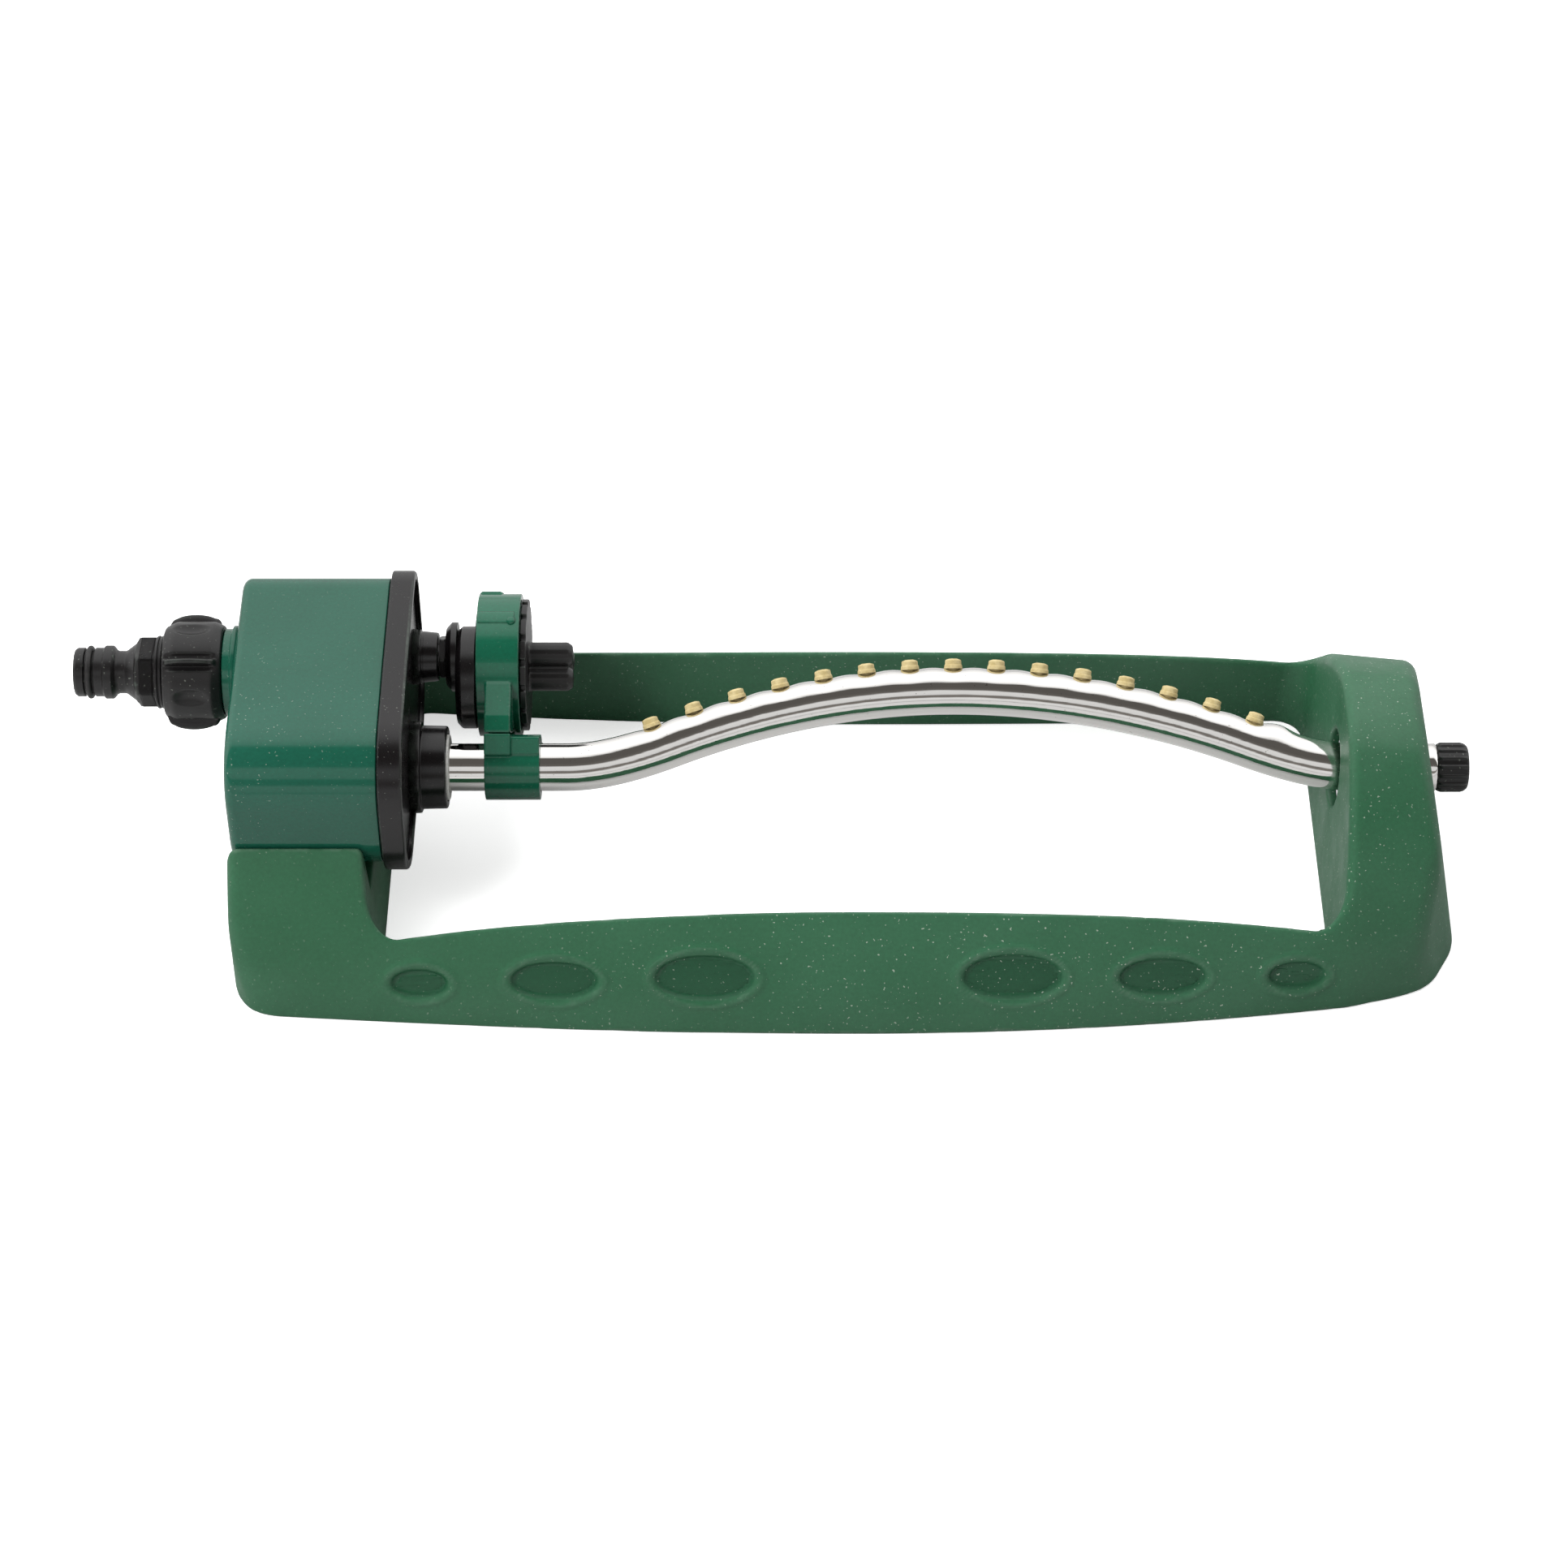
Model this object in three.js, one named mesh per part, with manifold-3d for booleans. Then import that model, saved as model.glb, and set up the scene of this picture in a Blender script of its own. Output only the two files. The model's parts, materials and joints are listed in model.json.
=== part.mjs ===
// Oscillating lawn sprinkler: a moulded base with a water-driven gearbox at its left end, which
// rocks an arched spray tube about its own axis through a crank, a strap and a clamp.
// Millimetres. X runs along the tube from the hose end to the plug, Y points away from the user,
// Z is up, and the origin is under the middle of the object, on the ground.
import * as THREE from "three";
import { mergeVertices } from "three/addons/utils/BufferGeometryUtils.js";
import Module from "manifold-3d";

const wasm = await Module();
wasm.setup();

// ---------------------------------------------------------------- driving dimensions
const GAP = 0.3; // between neighbouring pieces
const EIGHTH_TURN = Math.PI / 4;

const BASE = {
  left: -179.3,
  right: 228.5,
  endHalfWidth: 72, // ground half width at the right arch
  middleX: 28, // where the bars bow out the most
  bowOut: 13, // extra half width there
  bowFade: 45, // height at which the bow has gone
  leftFall: 8, // how much of the bow is lost at the left corner
  rightCornerX: 198.5,
  wall: 3.4,
  draft: 14.5 / 78, // slope of the right end face
  taperFrom: 190, // the arch draws in toward its outer face
  taper: 0.1,
};
const LEFT_SKIN = { crest: 78, power: 1.7, root: 0.62 }; // fuller shoulders beside the gearbox
const RIGHT_SKIN = { crest: 70.5, power: 1.9, root: 0.7 };
const OPENING = { left: -130.5, right: 185.8, halfWidth: 61.3, flareRight: 2, flareLeft: 6.3, corner: 10 };
const CRADLE = { halfWidth: 48.4, height: 31.5, innerX: -134.5 };
const RECESS_DEPTH = 1.8;
const RECESSES = [
  // distance from the middle, half length, half height along the slope, height of the centre
  { offset: 50.6, half: 16.8, tall: 8, up: 17.9 },
  { offset: 100, half: 14.8, tall: 6.8, up: 16.5 },
  { offset: 144.5, half: 9.9, tall: 5.3, up: 14.7 },
];

const HOUSING = { left: -178.2, right: -128.6, halfWidth: 48, bottom: 32, wall: 2.6 };
const HOUSING_TOP = { front: 85.8, middle: 88.4, rear: 89.3, frontCorner: 20, rearCorner: 12 };
const COVER = { left: -128, rimRight: -120.2, faceRight: -121.8, proud: 2.6, rimWall: 3 };

const INLET = { y: 16, z: 69 };
const TUBE = { y: 0, z: 40, radius: 8, bore: 6.8, left: -125.5, right: 222.6 };
const ARCH = { peakX: 60.5, rise: 25.7, leftRadius: 253, rightRadius: 277, blend: 8 };
const TUBE_ROLL_BACK = EIGHTH_TURN; // the nozzles lean this far back at rest

const NOZZLE = {
  count: 15, firstX: -38.4, lastX: 159.4, radius: 2.8, seat: 8.35, tip: 10.9, stem: 1.75, jet: 0.7,
};

const SHAFT = { y: 33, z: 60, radius: 4 };
const CRANK_OFFSET = { y: 4.6, z: -8.13 }; // from the shaft to the middle of the strap
const STRAP = { left: -100.1, right: -85.7, radius: 24.25, bore: 19.4 };
const LINK_PIN = { y: 12.73, z: 31.51, radius: 1.6 }; // the pin between the strap's arm and the clamp
const ARM = { left: -96.9, right: -88.1 };
const CLAMP = { left: -96.9, right: -78.4, radius: 11, bore: 8.3, pinHole: 2.6 };

const GEAR_MODULE = 1.5;
const TEETH = { pinion: 8, wheel: 20, output: 14 };
const PIN_RADIUS = 1.5;
const PIN_END = -127.4; // the gear pins end inside the cover

// ---------------------------------------------------------------- solids
// A closed geometry as a solid, facing outward whichever way its profile was drawn.
function solidOf(geometry) {
  const bare = geometry.index ? geometry.toNonIndexed() : geometry.clone();
  bare.deleteAttribute("normal");
  bare.deleteAttribute("uv");
  const merged = mergeVertices(bare, 1e-4);
  const corners = merged.index.array;
  const faces = [];
  for (let i = 0; i < corners.length; i += 3) {
    const [a, b, c] = [corners[i], corners[i + 1], corners[i + 2]];
    if (a !== b && b !== c && c !== a) faces.push(a, b, c);
  }
  const build = (triVerts) =>
    new wasm.Manifold(
      new wasm.Mesh({
        numProp: 3,
        vertProperties: merged.attributes.position.array,
        triVerts: new Uint32Array(triVerts),
      }),
    );
  const made = build(faces);
  return made.volume() < 0 ? build(faces.reverse()) : made;
}

function geometryOf(solid) {
  const mesh = solid.getMesh();
  const geometry = new THREE.BufferGeometry();
  geometry.setAttribute("position", new THREE.BufferAttribute(mesh.vertProperties, 3));
  geometry.setIndex(new THREE.BufferAttribute(mesh.triVerts, 1));
  geometry.computeVertexNormals();
  return geometry;
}

const join = (first, ...others) => others.reduce((sum, one) => sum.add(one), first);
const cut = (first, ...tools) => tools.reduce((rest, tool) => rest.subtract(tool), first);

// A YZ outline drawn out along X.
const ALONG_X = new THREE.Matrix4().makeBasis(
  new THREE.Vector3(0, 1, 0),
  new THREE.Vector3(0, 0, 1),
  new THREE.Vector3(1, 0, 0),
);
function slab(shape, x0, x1, curveSegments = 6) {
  const settings = { depth: x1 - x0, bevelEnabled: false, curveSegments };
  return solidOf(new THREE.ExtrudeGeometry(shape, settings).applyMatrix4(ALONG_X).translate(x0, 0, 0));
}

// A box from its lowest to its highest corner.
function block(x0, y0, z0, x1, y1, z1) {
  const box = new THREE.BoxGeometry(x1 - x0, y1 - y0, z1 - z0);
  return solidOf(box.translate((x0 + x1) / 2, (y0 + y1) / 2, (z0 + z1) / 2));
}

// A [radius, x] profile turned about the line along X through (y, z).
function turned(profile, y, z, segments = 16) {
  const closed = profile[0][0] > 0 ? [...profile, profile[0]] : profile;
  const points = closed.map(([radius, x]) => new THREE.Vector2(radius, x));
  const lathe = new THREE.LatheGeometry(points, segments);
  return solidOf(lathe.rotateZ(-Math.PI / 2).translate(0, y, z));
}

function rod(x0, x1, radius, y, z, segments = 16) {
  return turned([[0, x0], [radius, x0], [radius, x1], [0, x1]], y, z, segments);
}

function collar(x0, x1, bore, radius, y, z, segments = 16) {
  return turned([[bore, x0], [radius, x0], [radius, x1], [bore, x1]], y, z, segments);
}

// Closed rings of points joined side to side, with a fan over each end.
function loft(rings) {
  const count = rings[0].length;
  const points = rings.flat();
  const faces = [];
  for (let r = 0; r + 1 < rings.length; r++)
    for (let i = 0; i < count; i++) {
      const j = (i + 1) % count;
      const [a, b, c, d] = [r * count + i, r * count + j, (r + 1) * count + j, (r + 1) * count + i];
      faces.push(a, b, c, a, c, d);
    }
  for (const end of [0, rings.length - 1]) {
    const middle = points.push(average(rings[end])) - 1;
    for (let i = 0; i < count; i++) {
      const j = (i + 1) % count;
      const edge = [end * count + i, end * count + j];
      faces.push(middle, ...(end === 0 ? edge.reverse() : edge));
    }
  }
  const geometry = new THREE.BufferGeometry().setFromPoints(points);
  return solidOf(geometry.setIndex(faces));
}

function average(points) {
  const sum = new THREE.Vector3();
  points.forEach((point) => sum.add(point));
  return sum.divideScalar(points.length);
}

// A polygon of [x, y, corner radius], with its corners rounded.
function rounded(corners, steps = 4) {
  const points = [];
  corners.forEach(([x, y, radius], i) => {
    const here = new THREE.Vector2(x, y);
    if (!radius) return points.push(here);
    const before = new THREE.Vector2(...corners.at(i - 1)).sub(here).normalize();
    const after = new THREE.Vector2(...corners[(i + 1) % corners.length]).sub(here).normalize();
    const half = Math.acos(before.dot(after)) / 2;
    const reach = radius / Math.tan(half);
    const start = here.clone().addScaledVector(before, reach);
    const end = here.clone().addScaledVector(after, reach);
    const inward = before.clone().add(after).normalize();
    const centre = here.clone().addScaledVector(inward, radius / Math.sin(half));
    const first = start.sub(centre).angle();
    const turn = end.sub(centre).angle() - first;
    const sweep = THREE.MathUtils.euclideanModulo(turn + Math.PI, 2 * Math.PI) - Math.PI;
    for (let s = 0; s <= steps; s++) {
      const angle = first + (sweep * s) / steps;
      points.push(new THREE.Vector2(Math.cos(angle), Math.sin(angle)).multiplyScalar(radius).add(centre));
    }
  });
  return points;
}

// ---------------------------------------------------------------- base frame
// Half width of the arch at height z, in the plane of the right end, and of the bars anywhere.
function skinHalfWidth(x, z, inset) {
  const drawnIn = inset + Math.max(0, x - BASE.taperFrom) * BASE.taper;
  const [leftArch, rightArch] = [LEFT_SKIN, RIGHT_SKIN].map(({ crest, power, root }) => {
    const rise = Math.min(1, z / (crest + 3 - drawnIn));
    return (BASE.endHalfWidth - drawnIn) * (1 - rise ** power) ** root;
  });
  const arch = THREE.MathUtils.lerp(leftArch, rightArch, towardRight(x));
  const toRight = BASE.bowOut * ((x - BASE.middleX) / (BASE.rightCornerX - BASE.middleX)) ** 2;
  const toLeft = BASE.leftFall * ((BASE.middleX - x) / (BASE.middleX - BASE.left)) ** 2;
  const bow = Math.max(0, BASE.bowOut - (x > BASE.middleX ? toRight : toLeft));
  return arch + bow * Math.max(0, 1 - z / BASE.bowFade);
}

function towardRight(x) {
  return THREE.MathUtils.clamp((x + 120) / 80, 0, 1);
}

function skin(inset, floor) {
  const levels = [0, 0.12, 0.23, 0.33, 0.44, 0.55, 0.67, 0.78, 0.9, 0.97, 1];
  const stations = [-200, -160, -120, -80, -40, 0, 28, 60, 100, 140, 170, 190, 240];
  return loft(
    stations.map((x) => {
      const tallest = THREE.MathUtils.lerp(LEFT_SKIN.crest, RIGHT_SKIN.crest, towardRight(x));
      const crest = tallest - inset - Math.max(0, x - BASE.taperFrom) * BASE.taper;
      const heights = levels.map((level) => level * crest);
      const side = heights.map((z) => new THREE.Vector3(x, skinHalfWidth(x, z, inset), z || floor));
      const other = side.map((point) => new THREE.Vector3(x, -point.y, point.z)).reverse();
      return [...side, ...other];
    }),
  );
}

// The footprint that trims the two ends, with a drafted right face.
function footprint(inset) {
  const ring = (z) => {
    const right = BASE.right - inset - z * BASE.draft;
    const pull = BASE.right - right;
    const half = [
      [BASE.left + inset, -77.5 + inset, 18],
      [BASE.middleX, -92, 0],
      [BASE.rightCornerX - pull * 0.6, -73.5 + inset, 25],
      [right - 9.5, -63.5 + inset, 14],
      [right, -46 + inset, 9],
    ];
    const mirrored = half.map(([x, y, radius]) => [x, -y, radius]).reverse();
    return rounded([...half, ...mirrored]).map((point) => new THREE.Vector3(point.x, point.y, z));
  };
  return loft([ring(-12), ring(90)]);
}

// The big opening between the bars, with drafted end walls.
function opening(grow) {
  const ring = (z) => {
    const left = OPENING.left - grow - z * 0.077;
    const right = OPENING.right + grow + z * 0.065;
    const wide = (x) => {
      const flare = x > BASE.middleX ? OPENING.flareRight : OPENING.flareLeft;
      return OPENING.halfWidth + grow + flare * ((x - BASE.middleX) / 158) ** 2;
    };
    const xs = [right, 110, 60, BASE.middleX, -20, -60, -95, left];
    const radius = (i) => (i === 0 || i === xs.length - 1 ? OPENING.corner : 0);
    const rear = xs.map((x, i) => [x, wide(x), radius(i)]);
    const front = xs.map((x, i) => [x, -wide(x), radius(i)]).reverse();
    return rounded([...rear, ...front]).map((point) => new THREE.Vector3(point.x, point.y, z));
  };
  return loft([ring(-14), ring(92)]);
}

// A shallow oval dish sunk square into the sloping outer face of a bar.
function recess(place, end, rear) {
  const x = BASE.middleX + end * place.offset;
  const fall = skinHalfWidth(x, place.up - 1, 0) - skinHalfWidth(x, place.up + 1, 0);
  const lean = Math.atan2(fall, 2);
  const lift = 3 - RECESS_DEPTH;
  const dish = new THREE.CylinderGeometry(0.88, 1, 6, 16).scale(place.half, 1, place.tall).rotateX(-lean);
  const y = -skinHalfWidth(x, place.up, 0) - lift * Math.cos(lean);
  const front = solidOf(dish.translate(x, y, place.up + lift * Math.sin(lean)));
  return rear ? front.mirror([0, 1, 0]) : front;
}

function baseFrame() {
  const { halfWidth, height, innerX } = CRADLE;
  const outer = skin(0, 0).intersect(footprint(0));
  const hollow = skin(BASE.wall, -12).intersect(footprint(BASE.wall));
  const cradle = block(-200, -halfWidth, height, innerX + 20, halfWidth, 90);
  const cradleWall = block(-200, -halfWidth - BASE.wall, height - BASE.wall, -100, halfWidth + BASE.wall, 90);
  const core = cut(hollow, opening(BASE.wall), cradleWall);
  const shell = cut(outer, core, opening(0), cradle);
  const tubeHole = rod(180, 200, 13, TUBE.y, TUBE.z);
  const bushHole = rod(200, 230, 10.3, TUBE.y, TUBE.z);
  const screwHoles = BASE_SCREWS.map(([x, y]) => upright(2.2, 0, 40).translate([x, y, 0]));
  const dishes = RECESSES.flatMap((place) => [
    recess(place, -1, false), recess(place, -1, true), recess(place, 1, false), recess(place, 1, true),
  ]);
  return cut(shell, tubeHole, bushHole, ...screwHoles, ...dishes);
}

const BASE_SCREWS = [
  [-158, -2],
  [-158, 30],
];

function baseScrew([x, y]) {
  const seat = CRADLE.height - BASE.wall - GAP;
  const profile = [[0, seat - 2.2], [3.6, seat - 2.2], [3.6, seat], [1.7, seat], [1.7, 39], [0, 39]];
  const points = profile.map(([radius, z]) => new THREE.Vector2(radius, z));
  return solidOf(new THREE.LatheGeometry(points, 12).rotateX(Math.PI / 2).translate(x, y, 0));
}

// ---------------------------------------------------------------- gearbox
// The housing's end outline: upright sides, round corners and a crowned top that rises to the rear.
function housingOutline(grow) {
  const half = HOUSING.halfWidth + grow;
  const { front, middle, rear, frontCorner, rearCorner } = HOUSING_TOP;
  return new THREE.Shape(
    rounded([
      [-half, HOUSING.bottom - grow, frontCorner + grow],
      [half, HOUSING.bottom - grow, frontCorner + grow],
      [half, rear + grow, rearCorner + grow],
      [0, middle + grow, 0],
      [-half, front + grow, frontCorner + grow],
    ]),
  );
}

const SPIGOT = { left: -198.6, radius: 12.9, bore: 9.2 };
const COVER_SCREWS = [
  [-39, 75],
  [41.6, 79],
  [-39, 42],
  [39, 42],
];

function gearboxHousing() {
  const cup = slab(housingOutline(0), HOUSING.left, HOUSING.right);
  const inside = slab(housingOutline(-HOUSING.wall), HOUSING.left + HOUSING.wall, HOUSING.right + 5);
  const boss = rod(SPIGOT.left, HOUSING.left + 1, SPIGOT.radius, INLET.y, INLET.z);
  const foot = rod(-183, HOUSING.left + 1, 14.6, INLET.y, INLET.z);
  const bore = rod(-210, HOUSING.left + 5, SPIGOT.bore, INLET.y, INLET.z);
  const posts = COVER_SCREWS.map(([y, z]) => rod(-140, HOUSING.right, 4, y, z, 12));
  const pilots = COVER_SCREWS.map(([y, z]) => rod(-138.5, HOUSING.right + 1, 1.9, y, z, 12));
  const seats = BASE_SCREWS.map(([x, y]) => upright(4, 33, 41.5).translate([x, y, 0]));
  const seatPilots = BASE_SCREWS.map(([x, y]) => upright(2, 20, 40).translate([x, y, 0]));
  const pinBoss = rod(HOUSING.left + 1, -172.5, 3.6, ROTOR.y, ROTOR.z, 12);
  const pinHole = rod(-177, -170, PIN_RADIUS + GAP, ROTOR.y, ROTOR.z, 12);
  const whole = join(cut(cup, inside), boss, foot, ...posts, ...seats, pinBoss);
  return cut(whole, bore, pinHole, ...pilots, ...seatPilots);
}

function gearboxCover() {
  const plate = slab(housingOutline(COVER.proud), COVER.left, COVER.rimRight);
  const dish = slab(housingOutline(COVER.proud - COVER.rimWall), COVER.faceRight, COVER.rimRight + 5);
  const tubeBoss = rod(COVER.faceRight - 1, -109.6, 14.1, TUBE.y, TUBE.z);
  const tubeFlange = rod(COVER.faceRight - 1, -118.4, 15.4, TUBE.y, TUBE.z);
  const shaftBoss = turned(
    [
      [0, COVER.faceRight - 1], [9.4, COVER.faceRight - 1], [9, -119], [8.6, -119],
      [8.2, -113.3], [0, -113.3],
    ],
    SHAFT.y,
    SHAFT.z,
  );
  const tubeBore = rod(-130, -100, TUBE.radius + GAP, TUBE.y, TUBE.z);
  const sealSeat = rod(-111.9, -100, 11.4, TUBE.y, TUBE.z);
  const shaftBore = rod(-130, -100, SHAFT.radius + GAP, SHAFT.y, SHAFT.z);
  const shaftSeat = rod(-130, -124.4, 6.6, SHAFT.y, SHAFT.z);
  const heads = COVER_SCREWS.flatMap(([y, z]) => [
    rod(-130, -100, 1.9, y, z, 12),
    rod(-124.4, -110, 3.7, y, z, 12),
  ]);
  const pinBosses = PINNED.map(({ y, z }) => rod(-131, COVER.left + 1, 3.6, y, z, 12));
  const pinHoles = PINNED.map(({ y, z }) => rod(-135, COVER.left + 1, PIN_RADIUS + GAP, y, z, 12));
  const solid = join(cut(plate, dish), tubeBoss, tubeFlange, shaftBoss, ...pinBosses);
  return cut(solid, tubeBore, sealSeat, shaftBore, shaftSeat, ...heads, ...pinHoles);
}

// ---------------------------------------------------------------- gears
const polar = (from, distance, degrees) => ({
  y: from.y + distance * Math.cos(THREE.MathUtils.degToRad(degrees)),
  z: from.z + distance * Math.sin(THREE.MathUtils.degToRad(degrees)),
});
const pitchRadius = (teeth) => (GEAR_MODULE * teeth) / 2;
const OUTPUT_REACH = pitchRadius(TEETH.pinion) + pitchRadius(TEETH.output);
const STAGE_REACH = pitchRadius(TEETH.pinion) + pitchRadius(TEETH.wheel);
const IDLER_2 = polar(SHAFT, OUTPUT_REACH, 200);
const IDLER_1 = polar(IDLER_2, STAGE_REACH, 165);
const ROTOR = polar(IDLER_1, STAGE_REACH, 190);
const PINNED = [ROTOR, IDLER_1, IDLER_2];
const heading = (from, to) => Math.atan2(to.z - from.z, to.y - from.y);

// A toothed wheel with straight-sided teeth; one tooth's middle points along the given angle.
function gear(axis, teeth, toothAngle, x0, x1) {
  const pitch = (2 * Math.PI) / teeth;
  const root = pitchRadius(teeth) - 1.15 * GEAR_MODULE;
  const tip = pitchRadius(teeth) + 0.8 * GEAR_MODULE;
  const outline = [];
  for (let i = 0; i < teeth; i++)
    for (const [radius, turn] of [[root, -0.28], [tip, -0.11], [tip, 0.11], [root, 0.28]]) {
      const angle = toothAngle + (i + turn) * pitch;
      outline.push(new THREE.Vector2(axis.y + radius * Math.cos(angle), axis.z + radius * Math.sin(angle)));
    }
  return slab(new THREE.Shape(outline), x0, x1);
}
const gapAngle = (angle, teeth) => angle + Math.PI / teeth;

function turbineRotor() {
  const hub = rod(-172, -156, 4.5, ROTOR.y, ROTOR.z);
  const disc = rod(-158, -156, 16.5, ROTOR.y, ROTOR.z, 24);
  const blades = [];
  for (let i = 0; i < 8; i++) {
    const blade = new THREE.BoxGeometry(12.5, 12.5, 1.4).translate(-164, 10, 0);
    blades.push(solidOf(blade.rotateX(i * EIGHTH_TURN).translate(0, ROTOR.y, ROTOR.z)));
  }
  const sleeve = rod(-156.5, -147, 3.6, ROTOR.y, ROTOR.z);
  const pinion = gear(ROTOR, TEETH.pinion, heading(ROTOR, IDLER_1), -147.2, -141.5);
  const bore = rod(-180, -130, PIN_RADIUS + GAP, ROTOR.y, ROTOR.z, 12);
  return cut(join(hub, disc, ...blades, sleeve, pinion), bore);
}

// A large wheel driven by the stage before, with a pinion that drives the stage after.
function idler(axis, before, after, x) {
  const wheelAngle = gapAngle(heading(axis, before), TEETH.wheel);
  const wheel = gear(axis, TEETH.wheel, wheelAngle, x.wheel, x.step);
  const pinion = gear(axis, TEETH.pinion, heading(axis, after), x.step - 0.2, x.end);
  return cut(join(wheel, pinion), rod(-180, -120, PIN_RADIUS + GAP, axis.y, axis.z, 12));
}

function outputGear() {
  const toothAngle = gapAngle(heading(SHAFT, IDLER_2), TEETH.output);
  const bore = rod(-150, -120, SHAFT.radius + GAP, SHAFT.y, SHAFT.z);
  return cut(gear(SHAFT, TEETH.output, toothAngle, -135.6, -131.8), bore);
}

function dividerPlate() {
  const plate = slab(housingOutline(-HOUSING.wall - GAP), -151.5, -149.8);
  const rotorHole = rod(-155, -145, 4.2, ROTOR.y, ROTOR.z);
  const port = rod(-155, -145, 5, 8, 40);
  const pinHoles = [IDLER_1, IDLER_2].map(({ y, z }) => rod(-155, -145, PIN_RADIUS + GAP, y, z, 12));
  return cut(plate, rotorHole, port, ...pinHoles);
}

function coverGasket() {
  const outer = slab(housingOutline(-0.4), -128.5, -128.1);
  return cut(outer, slab(housingOutline(-HOUSING.wall + 0.5), -130, -126));
}

function coverScrew([y, z]) {
  const profile = [[0, -136.5], [1.5, -136.5], [1.5, -124], [3.3, -124], [3.3, -122.1], [0, -122.1]];
  return turned(profile, y, z, 12);
}

// ---------------------------------------------------------------- hose end
const NUT = { left: -203.1, right: -183.4, radius: 16.9 };

function swivelNut() {
  const body = turned(
    [
      [13.3, NUT.right],
      [15.6, NUT.right],
      [NUT.radius, NUT.right - 1.2],
      [NUT.radius, NUT.left + 2.4],
      [15.2, NUT.left],
      [11.5, NUT.left],
      [11.5, NUT.left + 2],
      [13.3, NUT.left + 2],
    ],
    INLET.y,
    INLET.z,
    24,
  );
  const ribs = [];
  for (let i = 0; i < 8; i++) {
    const rib = new THREE.CylinderGeometry(4.2, 4.2, 13.5, 10).rotateZ(Math.PI / 2);
    rib.translate(-192.6, 0, 15.4);
    ribs.push(solidOf(rib.rotateX((i + 0.5) * EIGHTH_TURN).translate(0, INLET.y, INLET.z)));
  }
  return cut(join(body, ...ribs), rod(NUT.left + 2, -180, 13.3, INLET.y, INLET.z, 24));
}

function hoseTail() {
  const outline = [
    [5, -233.5],
    [7.4, -233.5],
    [8.2, -232.2],
    [8.2, -230.2],
    [7.1, -230.2],
    [7.1, -226.7],
    [8.2, -226.7],
    [8.2, -224.2],
    [8.95, -223.2],
    [8.95, -220.6],
    [8.2, -219.8],
    [7.15, -219.4],
    [7.15, -216],
    [8.2, -213.6],
    [9.8, -212.4],
    [9.8, -206.5],
    [12.2, -206.1],
    [12.2, -203.6],
    [10.9, -203.4],
    [10.9, -200.8],
    [12.8, -200.8],
    [12.8, -199.9],
    [5, -199.9],
  ];
  const hex = rod(-213, -206, 11.6, 0, 0, 6).rotate([30, 0, 0]).translate([0, INLET.y, INLET.z]);
  const chamfer = turned([[0, -216], [8, -216], [12.5, -209], [12.5, -205], [0, -205]], INLET.y, INLET.z);
  const bore = rod(-240, -190, 5, INLET.y, INLET.z);
  return cut(join(turned(outline, INLET.y, INLET.z, 14), hex.intersect(chamfer)), bore);
}

function inletFilter() {
  const outline = [
    [0, -184.8], [3.9, -184.8], [6.8, -198.9], [8.7, -198.9],
    [8.7, -198.1], [7.6, -198.1], [4.6, -184], [0, -184],
  ];
  const cup = turned(outline, INLET.y, INLET.z, 16);
  const slots = [0, 1, 2].map((i) => block(-196, -9, -0.6, -186.5, 9, 0.6).rotate([i * 60, 0, 0]));
  return cut(cup, ...slots.map((slot) => slot.translate([0, INLET.y, INLET.z])));
}

// A ring of round section about the X axis.
function oRing(x, radius, thickness, y, z) {
  const ring = new THREE.TorusGeometry(radius, thickness, 6, 14);
  return solidOf(ring.rotateY(Math.PI / 2).translate(x, y, z));
}

// ---------------------------------------------------------------- spray tube
// Height of the tube's middle line above its axis, in the plane of the arch.
function archHeight(x) {
  const radius = x < ARCH.peakX ? ARCH.leftRadius : ARCH.rightRadius;
  const bow = ARCH.rise - (x - ARCH.peakX) ** 2 / (2 * radius);
  if (bow > ARCH.blend) return bow;
  return Math.max(0, bow + ARCH.blend) ** 2 / (4 * ARCH.blend);
}

function archSlope(x) {
  return Math.atan2(archHeight(x + 0.5) - archHeight(x - 0.5), 1);
}

const nozzlePlaces = Array.from({ length: NOZZLE.count }, (_, i) => {
  const x = NOZZLE.firstX + ((NOZZLE.lastX - NOZZLE.firstX) * i) / (NOZZLE.count - 1);
  return { x, height: archHeight(x), slope: archSlope(x) };
});

// Turns a piece made along +Z at the origin to stand on the tube at a nozzle's place.
function onTube(solid, place) {
  return solid.rotate([0, THREE.MathUtils.radToDeg(-place.slope), 0]).translate([place.x, 0, place.height]);
}

function upright(radius, z0, z1, segments = 10) {
  const cylinder = new THREE.CylinderGeometry(radius, radius, z1 - z0, segments);
  return solidOf(cylinder.rotateX(Math.PI / 2).translate(0, 0, (z0 + z1) / 2));
}

function sweepAlongArch(radius, from, to, steps, segments) {
  const rings = [];
  for (let i = 0; i <= steps; i++) {
    const x = from + ((to - from) * i) / steps;
    const slope = archSlope(x);
    const ring = [];
    for (let k = 0; k < segments; k++) {
      const angle = (2 * Math.PI * k) / segments;
      const out = radius * Math.cos(angle);
      const height = archHeight(x) + out * Math.cos(slope);
      ring.push(new THREE.Vector3(x - out * Math.sin(slope), radius * Math.sin(angle), height));
    }
    rings.push(ring);
  }
  return loft(rings);
}

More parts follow.
